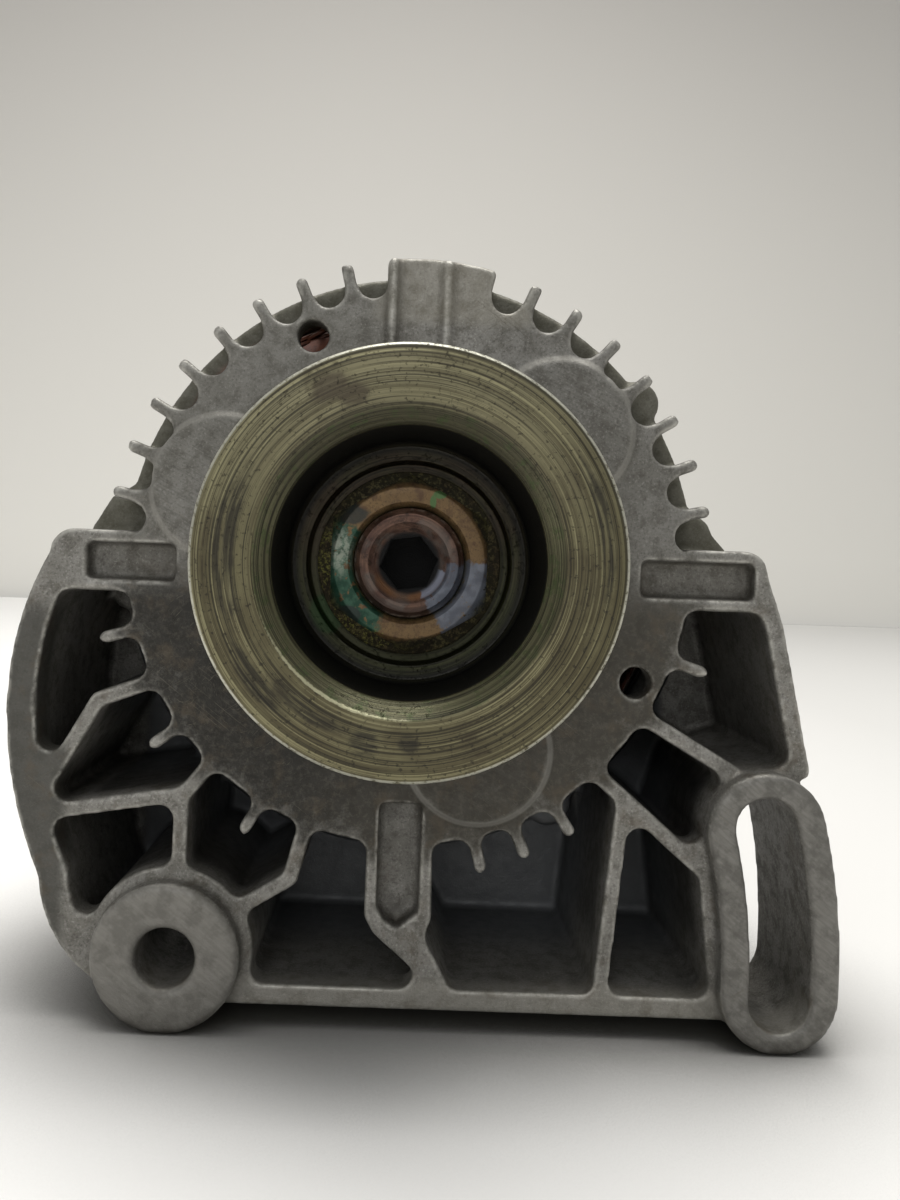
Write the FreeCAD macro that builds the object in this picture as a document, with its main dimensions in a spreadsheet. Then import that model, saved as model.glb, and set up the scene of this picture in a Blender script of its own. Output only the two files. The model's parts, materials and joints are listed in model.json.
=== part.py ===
import FreeCAD, Part
import math
import os
import re

import Sketcher

# Alternator with a cast drive-end bracket, a ribbed pulley and a claw-pole rotor.
# Millimetres. X is to the right seen from the pulley, Z is up and Y runs from the
# pulley to the rear. Each piece is drawn about the rotor axis, with depths measured
# back from the front face of the bracket plate, and then placed from the pivot bore.

SIZES = {
    # Rotor axis seen from the pivot bore
    "rotor_offset_x": 39.0,
    "rotor_offset_up": 68.1,
    # General clearances
    "seat_gap": 0.02,
    "air_gap": 0.35,
    "running_gap": 0.1,
    "winding_gap": 0.2,
    # Bracket plate and bowl
    "plate_radius": 46.1,
    "lower_plate_radius": 48.6,
    "plate_thickness": 5.5,
    "fin_tip_radius": 52.5,
    "lower_fin_tip_radius": 55.0,
    "fin_thickness": 2.1,
    "fin_pitch_angle": 9.2,
    "rim_radius": 57.5,
    "rim_front": 28.0,
    "rim_overlap": 4.0,
    "core_front": 30.0,
    "core_length": 28.0,
    "core_radius": 53.3,
    "core_shoulder": 2.3,
    "bowl_wall": 7.0,
    "bowl_overlap": 0.7,
    # Frame around the bowl
    "frame_wall": 3.2,
    "left_wall_extra": 2.0,
    "bottom_wall_extra": 0.5,
    "pocket_corner_radius": 2.3,
    "frame_depth": 48.0,
    "frame_top": 4.0,
    "frame_corner_radius": 4.0,
    "frame_left": -62.0,
    "frame_left_bulge": -68.6,
    "frame_right": 62.0,
    "frame_bottom": -77.0,
    "frame_web_depth": 40.0,
    "frame_web_thickness": 3.0,
    "frame_rib_thickness": 2.7,
    "arm_height": 10.6,
    "arm_depth": 12.0,
    "arm_recess_depth": 3.0,
    "arm_edge": 2.2,
    "arm_recess_inner": 40.2,
    "arm_left_end": 6.6,
    "arm_right_end": 2.4,
    "centre_rib_width": 11.4,
    "centre_rib_bottom": -66.2,
    "centre_rib_wall": 2.1,
    "centre_rib_recess_depth": 4.0,
    # Pivot boss and adjuster lug
    "boss_radius": 12.7,
    "boss_collar_radius": 14.4,
    "boss_front": -4.0,
    "boss_length": 62.0,
    "pivot_bore_radius": 5.1,
    "bore_chamfer": 0.8,
    "slot_arc_radius": 104.0,
    "slot_half_width": 5.15,
    "slot_low_angle": -2.16,
    "slot_high_angle": 14.08,
    "lug_wall": 4.9,
    "lug_top_wall": 4.2,
    "lug_length": 25.8,
    # Details on the plate face
    "pad_radius": 12.4,
    "pad_circle": 34.6,
    "pad_height": 1.0,
    "retainer_screw_circle": 28.6,
    "retainer_first_angle": 40.0,
    "plate_hole_radius": 2.65,
    "panel_rib_width": 1.9,
    "panel_rib_height": 1.6,
    "left_panel_rib_x": -4.4,
    "right_panel_rib_x": 5.0,
    # Front bearing
    "front_bearing_bore": 8.5,
    "front_bearing_radius": 23.5,
    "front_bearing_width": 14.0,
    "front_ball_radius": 4.7,
    "front_land_inner": 12.6,
    "front_land_outer": 19.4,
    "bearing_lip": 3.5,
    "lip_opening_radius": 15.5,
    "hub_wall": 3.1,
    "retainer_thickness": 1.8,
    "retainer_boss_radius": 5.0,
    "retainer_screw_radius": 2.5,
    "retainer_opening_radius": 18.4,
    "retainer_head_height": 1.6,
    "screw_slot_width": 0.8,
    # Rear bearing
    "rear_bearing_bore": 7.5,
    "rear_bearing_radius": 17.5,
    "rear_bearing_width": 11.0,
    "rear_bearing_front": 76.5,
    "rear_ball_radius": 2.95,
    "rear_land_inner": 10.7,
    "rear_land_outer": 14.3,
    "rear_sleeve_thickness": 1.2,
    "rear_hub_wall": 3.3,
    "hub_end_gap": 0.5,
    "seal_thickness": 0.7,
    "seal_inset": 0.4,
    "seal_lip_gap": 0.3,
    "cage_pocket_gap": 0.2,
    # Pulley
    "pulley_radius": 31.2,
    "pulley_width": 28.0,
    "pulley_gap": 1.7,
    "pulley_edge_chamfer": 0.5,
    "cup_mouth_radius": 22.3,
    "cup_radius": 19.8,
    "cup_chamfer_depth": 2.6,
    "cup_depth": 22.5,
    "cup_step_radius": 16.2,
    "cup_step_height": 1.0,
    "cup_corner": 0.8,
    "groove_pitch": 3.56,
    "groove_depth": 2.6,
    "groove_crest": 0.7,
    "groove_edge_width": 5.1,
    # Shaft, nut and spacers
    "shaft_radius": 8.5,
    "thread_root": 0.15,
    "shaft_tip_chamfer": 1.0,
    "shaft_front": -19.2,
    "shaft_socket_flats": 8.0,
    "shaft_socket_depth": 9.0,
    "shaft_socket_angle": 9.0,
    "countersink_radius": 6.2,
    "countersink_depth": 1.8,
    "shaft_shoulder": 2.0,
    "slip_stub_radius": 5.0,
    "slip_stub_end": 106.5,
    "nut_flats": 24.0,
    "nut_front": -18.0,
    "nut_chamfer": 1.6,
    "nut_mouth_chamfer": 0.8,
    "washer_radius": 14.8,
    "washer_thickness": 2.0,
    "collar_radius": 12.5,
    # Rotor
    "pole_front": 24.0,
    "pole_length": 40.0,
    "pole_base_thickness": 9.5,
    "pole_hub_radius": 21.3,
    "pole_web": 4.0,
    "pole_edge_bevel": 1.2,
    "pole_root_inner": 30.0,
    "pole_tip_inner": 35.2,
    "pole_root_angle": 32.0,
    "pole_tip_angle": 13.0,
    "pole_tip_setback": 2.0,
    "pole_pairs": 6,
    "stator_bore_radius": 39.0,
    "bobbin_wall": 1.2,
    "bobbin_flange_radius": 29.2,
    "coil_radius": 28.6,
    "fan_thickness": 1.5,
    "fan_blade_radius": 38.0,
    "front_blade_inner": 34.6,
    "front_blade_length": 9.0,
    "rear_blade_inner": 27.0,
    "rear_blade_length": 9.5,
    "fan_blades": 11,
    "fan_blade_lean": 25.0,
    # Stator
    "slot_count": 36,
    "weld_groove_radius": 1.0,
    "slot_width": 3.4,
    "slot_mouth_width": 1.8,
    "slot_mouth_depth": 1.2,
    "slot_bottom_radius": 48.8,
    "overhang_inner": 41.5,
    "overhang_outer": 48.5,
    "overhang_length": 11.8,
    "overhang_corner": 1.8,
    "conductor_width": 2.9,
    # Through bolts
    "bolt_circle": 56.2,
    "bolt_radius": 2.5,
    "bolt_tip_depth": 3.0,
    "bolt_ear_radius": 4.6,
    "bolt_ear_length": 12.0,
    "front_ear_length": 10.0,
    "bolt_head_flats": 8.0,
    "bolt_head_height": 3.5,
    # Rear bracket
    "rear_plate_back": 82.0,
    "rear_plate_thickness": 4.0,
    "rear_rim_length": 6.0,
    "rear_pad_radius": 4.2,
    "lead_hole_gap": 0.8,
    "rear_vents": 12,
    "rear_vent_width": 6.0,
    "rear_vent_inner": 26.0,
    "rear_vent_outer": 41.0,
    # Slip rings and brushes
    "ring_radius": 8.0,
    "ring_wall": 1.4,
    "ring_width": 5.5,
    "ring_pitch": 8.0,
    "first_ring_front": 90.5,
    "ring_sleeve_margin": 1.5,
    "brush_width": 6.4,
    "brush_thickness": 4.6,
    "brush_length": 14.0,
    "brush_clearance": 0.15,
    "brush_seat_gap": 0.06,
    "spring_radius": 1.8,
    "spring_wire": 0.35,
    "spring_length": 9.0,
    "spring_end_gap": 0.05,
    "holder_half_width": 7.5,
    "holder_bottom": 9.6,
    "holder_roof": 2.0,
    "holder_flange_half_width": 15.0,
    "holder_flange_bottom": 24.0,
    "holder_flange_thickness": 5.0,
    "holder_screw_edge": 3.8,
    "regulator_height": 11.0,
    "regulator_depth": 20.0,
    "regulator_fin_thickness": 1.4,
    "regulator_fin_pitch": 3.2,
    "regulator_fin_height": 3.0,
    # Rectifier
    "rectifier_circle": 33.5,
    "heat_sink_inner": 24.0,
    "heat_sink_outer": 42.0,
    "negative_sink_thickness": 3.0,
    "positive_sink_thickness": 3.5,
    "sink_spacing": 7.0,
    "sink_spacer_radius": 3.6,
    "carrier_thickness": 3.0,
    "carrier_outer": 46.0,
    "diode_radius": 6.4,
    "diode_height": 6.4,
    "diode_lead_radius": 0.7,
    "diode_lead_gap": 1.2,
    "lead_tail": 1.5,
    "rectifier_screw_radius": 2.0,
    "screw_head_radius": 3.5,
    "screw_head_height": 2.4,
    "screw_end_gap": 0.5,
    "lead_circle": 44.4,
    "phase_lead_radius": 0.9,
    "phase_lead_front": 69.0,
    # Battery stud and rear cover
    "stud_radius": 3.0,
    "stud_length": 38.0,
    "stud_end_radius": 2.5,
    "stud_circle": 36.5,
    "stud_angle": 168.0,
    "stud_sleeve_radius": 6.5,
    "stud_nut_flats": 10.0,
    "stud_nut_height": 5.0,
    "stud_washer_thickness": 1.2,
    "stud_washer_radius": 6.4,
    "stud_sleeve_rise": 1.5,
    "stud_tip_chamfer": 0.9,
    "stud_head_height": 3.0,
    "cover_radius": 50.0,
    "cover_wall": 2.0,
    "cover_back": 111.0,
    "cover_gap": 0.3,
    "cover_stud_circle": 42.0,
    "cover_stud_radius": 2.0,
    "cover_nut_flats": 7.0,
    "cover_nut_height": 3.5,
    "cover_stud_tail": 2.0,
    "cover_post_radius": 4.0,
    "cover_corner": 4.6,
    "cover_vent_inner": 24.0,
    "cover_vent_outer": 43.0,
    "cover_vent_width": 4.0,
    "cover_vents": 9,
    "cover_vent_first_angle": 196.0,
    "cover_vent_step": 18.5,
    "terminal_width": 6.3,
    "terminal_thickness": 0.8,
    "terminal_up": 38.5,
    "terminal_end": 119.0,
    "shroud_wall": 1.5,
    "shroud_room": 1.6,
    "shroud_length": 9.0,
}

# Directions of single features about the rotor axis, in degrees from the right
LOWER_FIN_ANGLES = [195.7, 217.3, 240.2, 285.2, 293.6, 302.8, 341.5]
THROUGH_BOLT_ANGLES = [37.0, 187.0, 302.0]
NEGATIVE_DIODE_ANGLES = [206.0, 252.0, 311.0]
POSITIVE_DIODE_ANGLES = [229.0, 288.0, 334.0]
RECTIFIER_SCREW_ANGLES = [188.0, 270.0, 352.0]
COVER_STUD_ANGLES = [50.0, 130.0, 270.0]
PHASE_LEAD_ANGLES = [200.0, 262.0, 325.0]
SINK_START_ANGLE = 178.0
SINK_END_ANGLE = 362.0
POSITIVE_SINK_START_ANGLE = 156.0
CARRIER_START_ANGLE = 182.0
CARRIER_END_ANGLE = 358.0

# Frame ribs: from the plate edge to the wall, boss or lug, as x and height about the rotor
FRAME_RIBS = {
    "upper left": [(-42.0, -21.4), (-52.8, -25.4), (-62.5, -42.5)],
    "middle left": [(-32.6, -35.2), (-37.4, -41.2), (-64.0, -45.6)],
    "over the boss": [(-37.8, -41.0), (-38.0, -58.0)],
    "lower left": [(-15.6, -43.0), (-18.7, -55.2), (-30.4, -62.4)],
    "lower right": [(38.4, -40.2), (35.2, -75.0)],
    "to the lug": [(32.6, -34.4), (56.5, -54.8)],
    "upper right": [(40.6, -24.8), (60.5, -36.3)],
}

# Corners, as x and height about the rotor, of the webs between the rim and the frame's top
RIM_WEBS = [
    [(-50.0, 14.5), (-56.0, 14.0), (-60.6, 11.3), (-64.2, 5.2), (-65.2, 2.0), (-50.0, 2.0)],
    [(50.0, 13.5), (56.0, 13.2), (60.2, 10.0), (61.1, 7.8), (64.2, 4.4), (65.5, 2.0), (50.0, 2.0)],
]

PAD_ANGLES = [43.0, 159.5, 292.0]
PLATE_HOLES = [(-17.8, 38.5), (39.7, -19.3)]

# How far a cutting shape reaches past the faces that it opens
MARGIN = 1.0

doc = FreeCAD.newDocument("alternator")
sheet = doc.addObject("Spreadsheet::Sheet", "Sizes")
for row, (alias, value) in enumerate(SIZES.items(), start=1):
    sheet.set(f"A{row}", alias)
    sheet.set(f"B{row}", str(value))
    sheet.setAlias(f"B{row}", alias)
doc.recompute()

sub_parts = []


def bound(expression):
    """The expression with each size named as a cell of the sheet."""
    return re.sub(r"[a-z][a-z_]*[a-z]", lambda word: "Sizes." + word.group(), expression)


def size(expression):
    """The value of an expression of named sizes."""
    return float(sheet.evalExpression(expression))


def place(piece):
    """Moves a piece from the rotor axis to its place from the pivot bore."""
    piece.setExpression("Placement.Base.x", bound("rotor_offset_x"))
    piece.setExpression("Placement.Base.z", bound("rotor_offset_up"))
    sub_parts.append(piece)


# Sketch-based pieces


def origin_plane(body, role):
    for plane in body.Origin.OriginFeatures:
        if plane.Role == role:
            return plane
    raise ValueError(role)


def plane_sketch(body, name, role="XY_Plane"):
    sketch = body.newObject("Sketcher::SketchObject", name)
    sketch.AttachmentSupport = [(origin_plane(body, role), "")]
    sketch.MapMode = "FlatFace"
    return sketch


def closed_outline(sketch, outline):
    """Draws a closed outline whose corners are pairs of expressions."""
    corners = [(size(first), size(second)) for first, second in outline]
    count = len(corners)
    for number, (first, second) in enumerate(corners):
        following = corners[(number + 1) % count]
        start = FreeCAD.Vector(first, second, 0)
        end = FreeCAD.Vector(following[0], following[1], 0)
        sketch.addGeometry(Part.LineSegment(start, end), False)
    for number in range(count):
        joined = Sketcher.Constraint("Coincident", number, 2, (number + 1) % count, 1)
        sketch.addConstraint(joined)
    for number, expressions in enumerate(outline):
        for kind, expression in zip(("DistanceX", "DistanceY"), expressions):
            distance = Sketcher.Constraint(kind, -1, 1, number, 1, size(expression))
            constraint = sketch.addConstraint(distance)
            sketch.setExpression(f"Constraints[{constraint}]", bound(expression))


def turned(label, outline):
    """A piece turned about the rotor axis; the outline is radius and depth."""
    body = doc.addObject("PartDesign::Body", label)
    sketch = plane_sketch(body, label + "_outline")
    closed_outline(sketch, outline)
    turn = body.newObject("PartDesign::Revolution", label + "_turn")
    turn.Profile = sketch
    turn.ReferenceAxis = (sketch, ["V_Axis"])
    turn.Angle = 360
    place(body)
    return body


def ring(label, inner, outer, front, back):
    """A turned ring with a rectangular section."""
    return turned(label, [(inner, front), (outer, front), (outer, back), (inner, back)])


def cut_ball_track(body, pitch_radius, middle, track_radius):
    """Grooves a bearing ring with a round track."""
    sketch = plane_sketch(body, body.Label + "_track")
    centre = FreeCAD.Vector(size(pitch_radius), size(middle), 0)
    circle = Part.Circle(centre, FreeCAD.Vector(0, 0, 1), size(track_radius))
    sketch.addGeometry(circle, False)
    across = sketch.addConstraint(Sketcher.Constraint("DistanceX", -1, 1, 0, 3, centre.x))
    along = sketch.addConstraint(Sketcher.Constraint("DistanceY", -1, 1, 0, 3, centre.y))
    radius = sketch.addConstraint(Sketcher.Constraint("Radius", 0, size(track_radius)))
    for constraint, expression in ((across, pitch_radius), (along, middle), (radius, track_radius)):
        sketch.setExpression(f"Constraints[{constraint}]", bound(expression))
    groove = body.newObject("PartDesign::Groove", body.Label + "_groove")
    groove.Profile = sketch
    groove.ReferenceAxis = (sketch, ["V_Axis"])
    groove.Angle = 360


# Pieces shaped with solids about the rotor axis


def shaped(label, shape):
    piece = doc.addObject("Part::Feature", label)
    piece.Shape = shape
    place(piece)
    return piece


def point(x, depth, up):
    return FreeCAD.Vector(x, depth, up)


def polar(radius, angle):
    """The x and height of a point at a radius and an angle about the rotor axis."""
    turned_by = math.radians(angle)
    return radius * math.cos(turned_by), radius * math.sin(turned_by)


def prism(corners, front, back):
    """A straight prism along the depth, from a closed list of x and height."""
    points = [point(x, front, up) for x, up in corners]
    wire = Part.makePolygon(points + points[:1])
    return Part.Face(wire).extrude(point(0, back - front, 0))


def cylinder(radius, front, back, centre=(0.0, 0.0)):
    base = point(centre[0], front, centre[1])
    return Part.makeCylinder(radius, back - front, base, point(0, 1, 0))


def tube(inner, outer, front, back, centre=(0.0, 0.0)):
    bore = cylinder(inner, front - MARGIN, back + MARGIN, centre)
    return cylinder(outer, front, back, centre).cut(bore)


def block(left, right, front, back, bottom, top):
    return prism([(left, bottom), (right, bottom), (right, top), (left, top)], front, back)


def hexagon(flats, front, back, centre=(0.0, 0.0), first_angle=0.0):
    """A hexagonal prism with its first corner at an angle."""
    corner_radius = flats / math.sqrt(3)
    corners = []
    for number in range(6):
        x, up = polar(corner_radius, first_angle + 60 * number)
        corners.append((centre[0] + x, centre[1] + up))
    return prism(corners, front, back)


def about_axis(shape, angle):
    """A copy of a shape turned about the rotor axis, from right towards up."""
    copy = shape.copy()
    copy.rotate(point(0, 0, 0), point(0, -1, 0), angle)
    return copy


def around(shape, count, first_angle=0.0):
    """Copies of a shape at equal steps round the rotor axis."""
    return [about_axis(shape, first_angle + 360 * number / count) for number in range(count)]


def at_angles(shape, angles):
    """Copies of a shape drawn on the right, turned to each angle."""
    return [about_axis(shape, angle) for angle in angles]


def revolved(outline):
    """A solid of revolution from a closed list of radius and depth."""
    points = [point(radius, depth, 0) for radius, depth in outline]
    wire = Part.makePolygon(points + points[:1])
    return Part.Face(wire).revolve(point(0, 0, 0), point(0, 1, 0), 360)


def sector(inner, outer, start_angle, end_angle, front, back):
    """Part of a ring between two angles."""
    middle = (start_angle + end_angle) / 2
    outer_ends = [polar(outer, angle) for angle in (start_angle, middle, end_angle)]
    inner_ends = [polar(inner, angle) for angle in (end_angle, middle, start_angle)]
    outer_points = [point(x, front, up) for x, up in outer_ends]
    inner_points = [point(x, front, up) for x, up in inner_ends]
    edges = [
        Part.Arc(*outer_points).toShape(),
        Part.LineSegment(outer_points[2], inner_points[0]).toShape(),
        Part.Arc(*inner_points).toShape(),
        Part.LineSegment(inner_points[2], outer_points[0]).toShape(),
    ]
    return Part.Face(Part.Wire(edges)).extrude(point(0, back - front, 0))


def strip(start, end, thickness, front, back):
    """A straight wall between two points, with round ends."""
    run = FreeCAD.Vector(end[0] - start[0], end[1] - start[1], 0)
    side = FreeCAD.Vector(-run.y, run.x, 0).normalize() * (thickness / 2)
    corners = [
        (start[0] + side.x, start[1] + side.y),
        (end[0] + side.x, end[1] + side.y),
        (end[0] - side.x, end[1] - side.y),
        (start[0] - side.x, start[1] - side.y),
    ]
    ends = [cylinder(thickness / 2, front, back, place) for place in (start, end)]
    return prism(corners, front, back).multiFuse(ends)


# Depths that several pieces share

BEARING_FRONT = "bearing_lip"
BEARING_BACK = "bearing_lip + front_bearing_width"
RETAINER_BACK = f"({BEARING_BACK} + retainer_thickness)"
REAR_BACK = "(rear_bearing_front + rear_bearing_width)"
PULLEY_BACK = "-pulley_gap"
PULLEY_FRONT = "(-pulley_gap - pulley_width)"
CUP_FLOOR = "(-pulley_gap - pulley_width + cup_depth)"
POLE_BACK = "(pole_front + pole_length)"
CORE_BACK = "(core_front + core_length)"
ROTOR_RADIUS = "(stator_bore_radius - air_gap)"
SLEEVE_FRONT = "(first_ring_front - ring_sleeve_margin)"
SLEEVE_BACK = "(first_ring_front + ring_pitch + ring_width + ring_sleeve_margin)"
NEGATIVE_SINK_BACK = "(rear_plate_back + negative_sink_thickness)"
POSITIVE_SINK_FRONT = f"({NEGATIVE_SINK_BACK} + sink_spacing)"
POSITIVE_SINK_BACK = f"({POSITIVE_SINK_FRONT} + positive_sink_thickness)"
CARRIER_BACK = f"({POSITIVE_SINK_BACK} + carrier_thickness)"
SCREW_FRONT = "(rear_plate_back - rear_plate_thickness + screw_end_gap)"


# Drive-end bracket


def pivot():
    return -size("rotor_offset_x"), -size("rotor_offset_up")


def pivot_arc_slot(half_width, low_angle, high_angle, front, back):
    """A round-ended slot that follows an arc about the pivot."""
    centre_x, centre_up = pivot()
    middle = (low_angle + high_angle) / 2
    radius = size("slot_arc_radius")

    def on_arc(arc_radius, angle):
        x, up = polar(arc_radius, angle)
        return point(centre_x + x, front, centre_up + up)

    def beyond(angle, side):
        x, up = polar(half_width, angle + side * 90)
        end = on_arc(radius, angle)
        return point(end.x + x, front, end.z + up)

    outer = [on_arc(radius + half_width, angle) for angle in (low_angle, middle, high_angle)]
    inner = [on_arc(radius - half_width, angle) for angle in (high_angle, middle, low_angle)]
    edges = [
        Part.Arc(*outer).toShape(),
        Part.Arc(outer[2], beyond(high_angle, 1), inner[0]).toShape(),
        Part.Arc(*inner).toShape(),
        Part.Arc(inner[2], beyond(low_angle, -1), outer[0]).toShape(),
    ]
    return Part.Face(Part.Wire(edges)).extrude(point(0, back - front, 0))


def frame_outline():
    """The outside of the frame behind the lug and the boss, as one wire."""
    top = size("frame_top")
    left = size("frame_left")
    right = size("frame_right")
    bulge = size("frame_left_bulge")
    bottom = size("frame_bottom")
    corner = size("frame_corner_radius")
    slope = corner * (1 - math.sqrt(0.5))
    lug_side = size("slot_arc_radius - rotor_offset_x - slot_half_width - lug_wall") - 0.4
    under_lug = lug_side + size("lug_wall") * 0.7

    def at(x, up):
        return point(x, 0, up)

    left_shoulder = at(left, top - corner)
    right_shoulder = at(right, top - corner)
    above_bulge = at(bulge + 1.5, bottom + 63.5)
    bulge_middle = at(bulge, bottom + 49.3)
    below_bulge = at(bulge + 2.0, bottom + 34.0)
    waist = at(left - 0.1, bottom + 20.8)
    foot_bend = at(left + 4.1, bottom + 9.0)
    foot = at(left + 9.3, bottom + 3.8)
    arcs = [
        (left_shoulder, at(left + slope, top - slope), at(left + corner, top)),
        (at(right - corner, top), at(right - slope, top - slope), right_shoulder),
        (foot, foot_bend, waist),
        (waist, below_bulge, bulge_middle),
        (bulge_middle, above_bulge, left_shoulder),
    ]
    corners = [
        right_shoulder,
        at(right + 3.1, top - 13.1),
        at(right + 8.6, top - 38.6),
        at(lug_side + 2.9, bottom + 38.5),
        at(lug_side, bottom + 29.0),
        at(under_lug, bottom),
        at(left + 14.0, bottom),
        foot,
    ]
    edges = [Part.Arc(*arc).toShape() for arc in arcs]
    edges.append(Part.LineSegment(at(left + corner, top), at(right - corner, top)).toShape())
    for start, end in zip(corners, corners[1:]):
        edges.append(Part.LineSegment(start, end).toShape())
    return Part.Wire(Part.__sortEdges__(edges))


def frame_layer(wire, front, back):
    layer = Part.Face(wire).extrude(point(0, back - front, 0))
    layer.translate(point(0, front, 0))
    return layer


def bowl_notch(angle, front, back):
    """A round-bottomed gap between two fins, open to the outside."""
    half_pitch = size("fin_pitch_angle / 2")
    half_fin = size("fin_thickness / 2")
    floor_radius = size("plate_radius")
    outside = size("rim_radius") * 1.1
    half_width = floor_radius * math.sin(math.radians(half_pitch)) - half_fin
    start = floor_radius + half_width
    corners = []
    for radius, side in ((start, -1), (outside, -1), (outside, 1), (start, 1)):
        x, up = polar(radius, angle + side * half_pitch)
        shift_x, shift_up = polar(half_fin, angle + side * half_pitch - side * 90)
        corners.append((x + shift_x, up + shift_up))
    valley = cylinder(half_width, front, back, polar(start, angle))
    return prism(corners, front, back).fuse(valley)


def notch_angles():
    """Middles of the gaps between the upper fins; the gap under the top panel is left out."""
    pitch = size("fin_pitch_angle")
    left = [90 + pitch * number for number in range(1, 10)]
    right = [90 - pitch * number for number in range(2, 10)]
    return left + right


def lower_fin(back):
    """A fin on the lower half of the bowl, drawn on the right."""
    tip = size("lower_fin_tip_radius - fin_thickness / 2")
    return strip((size("plate_radius"), 0), (tip, 0), size("fin_thickness"), 0, back)


def bowl_hollow():
    """Room inside the bowl for the bearing, the fan, the winding and the core."""
    rim_back = size("core_front + rim_overlap")
    plate = size("plate_thickness")
    hub_outer = size("front_bearing_radius + hub_wall")
    bearing_back = size(BEARING_BACK)
    core_seat = size("core_radius + seat_gap")
    shoulder = size("core_radius - core_shoulder")
    return revolved([
        (0, -MARGIN),
        (size("lip_opening_radius"), -MARGIN),
        (size("lip_opening_radius"), size(BEARING_FRONT)),
        (size("front_bearing_radius + seat_gap"), size(BEARING_FRONT)),
        (size("front_bearing_radius + seat_gap"), bearing_back),
        (hub_outer, bearing_back),
        (hub_outer, plate),
        (size("fin_tip_radius - bowl_wall"), plate),
        (shoulder, size("rim_front")),
        (shoulder, size("core_front")),
        (core_seat, size("core_front")),
        (core_seat, rim_back + MARGIN),
        (0, rim_back + MARGIN),
    ])


def bracket_bowl(hollow):
    """Plate, fins, rim and bearing housing."""
    rim_back = size("core_front + rim_overlap")
    bearing_back = size(BEARING_BACK)
    outside = revolved([
        (0, 0),
        (size("fin_tip_radius"), 0),
        (size("rim_radius"), size("rim_front")),
        (size("rim_radius"), rim_back),
        (0, rim_back),
    ])
    bowl = outside.cut(hollow)
    notches = [bowl_notch(angle, -MARGIN, size("rim_front")) for angle in notch_angles()]
    lower_window = sector(
        size("lower_plate_radius"), size("rim_radius") * 1.1, 184, 356, -MARGIN, size("rim_front")
    )
    bowl = bowl.cut(Part.makeCompound(notches)).cut(lower_window)
    fin = lower_fin(size("rim_front") + MARGIN)
    screw_boss = cylinder(
        size("retainer_boss_radius"),
        size("plate_thickness") - MARGIN,
        bearing_back,
        (size("retainer_screw_circle"), 0),
    ).cut(cylinder(size("front_bearing_radius + hub_wall / 2"), 0, bearing_back + MARGIN))
    bosses = around(screw_boss, 3, size("retainer_first_angle"))
    fins = at_angles(fin.cut(hollow), LOWER_FIN_ANGLES)
    return bowl.multiFuse(fins + bosses)


def frame_inside(outer, front, back):
    """Room inside the frame's walls, which are thicker at the left and at the bottom."""
    inner = outer.makeOffset2D(-size("frame_wall"))
    room = frame_layer(inner, front, back)
    moved = room.copy()
    moved.translate(point(size("left_wall_extra"), 0, size("bottom_wall_extra")))
    return room.common(moved)


def bracket_frame():
    """Walls, ribs, arms and rear web round the lower half of the bowl."""
    depth = size("frame_depth")
    web_front = size("frame_web_depth")
    web_back = size("frame_web_depth + frame_web_thickness")
    outer = frame_outline()
    frame = frame_layer(outer, 0, depth)
    frame = frame.cut(frame_inside(outer, -MARGIN, web_front))
    frame = frame.cut(frame_inside(outer, web_back, depth + MARGIN))
    pieces = [frame_arm(outer), centre_rib(web_front + MARGIN)]
    rim_back = size("core_front + rim_overlap")
    pieces += [prism(corners, size("rim_front"), rim_back) for corners in RIM_WEBS]
    for route in FRAME_RIBS.values():
        for start, end in zip(route, route[1:]):
            pieces.append(strip(start, end, size("frame_rib_thickness"), 0, web_front + MARGIN))
    collar = cylinder(size("boss_collar_radius"), 0, web_front + MARGIN, pivot())
    pieces.append(collar.common(frame_layer(outer, 0, depth)))
    frame = frame.multiFuse(pieces)
    return frame.fuse(frame_front(outer, frame))


def frame_front(outer, frame):
    """The front of the frame, where every pocket has round corners."""
    thickness = size("plate_thickness")
    radius = size("pocket_corner_radius")
    plate = cylinder(size("lower_plate_radius"), -MARGIN, thickness + MARGIN)
    fins = at_angles(lower_fin(thickness + MARGIN), LOWER_FIN_ANGLES)
    pockets = frame_inside(outer, 0, thickness).cut(frame).cut(plate)
    for fin in fins:
        pockets = pockets.cut(fin)
    front = frame_layer(outer, 0, thickness)
    for pocket in pockets.Solids:
        mouth = min(pocket.Faces, key=lambda face: face.BoundBox.YMax)
        for middle in mouth.makeOffset2D(-radius).Faces:
            opening = middle.makeOffset2D(radius)
            front = front.cut(opening.extrude(point(0, thickness, 0)))
    return front


def frame_arm(outer):
    """The two level arms beside the bowl."""
    bottom = size("frame_top - arm_height")
    beyond = size("frame_right") * 2
    beam = block(-beyond, beyond, 0, size("arm_depth"), bottom, size("frame_top") + MARGIN)
    return beam.common(frame_layer(outer, 0, size("arm_depth")))


def arm_recesses():
    """Shallow recesses in the front of both arms, running on into the plate."""
    bottom = size("frame_top - arm_height + arm_edge")
    top = size("frame_top - arm_edge")
    inner = size("arm_recess_inner")
    depth = size("arm_recess_depth")
    left = size("frame_left + arm_left_end")
    right = size("frame_right - arm_right_end")
    sides = ((left, -inner), (inner, right))
    return [block(start, end, -MARGIN, depth, bottom, top) for start, end in sides]


def centre_rib(back):
    """The wide rib under the plate, and the narrow foot that it stands on."""
    half = size("centre_rib_width / 2")
    tip = size("centre_rib_bottom")
    top = -size("plate_radius")
    foot = size("frame_bottom + frame_wall / 2")
    return prism([
        (-half, top),
        (-half, tip + 5.0),
        (-half + 1.6, tip + 2.1),
        (3.8, tip - 4.5),
        (4.6, foot),
        (10.8, foot),
        (4.9, tip + 1.7),
        (half + 0.3, tip + 5.0),
        (half, top),
    ], 0, back)


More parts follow.
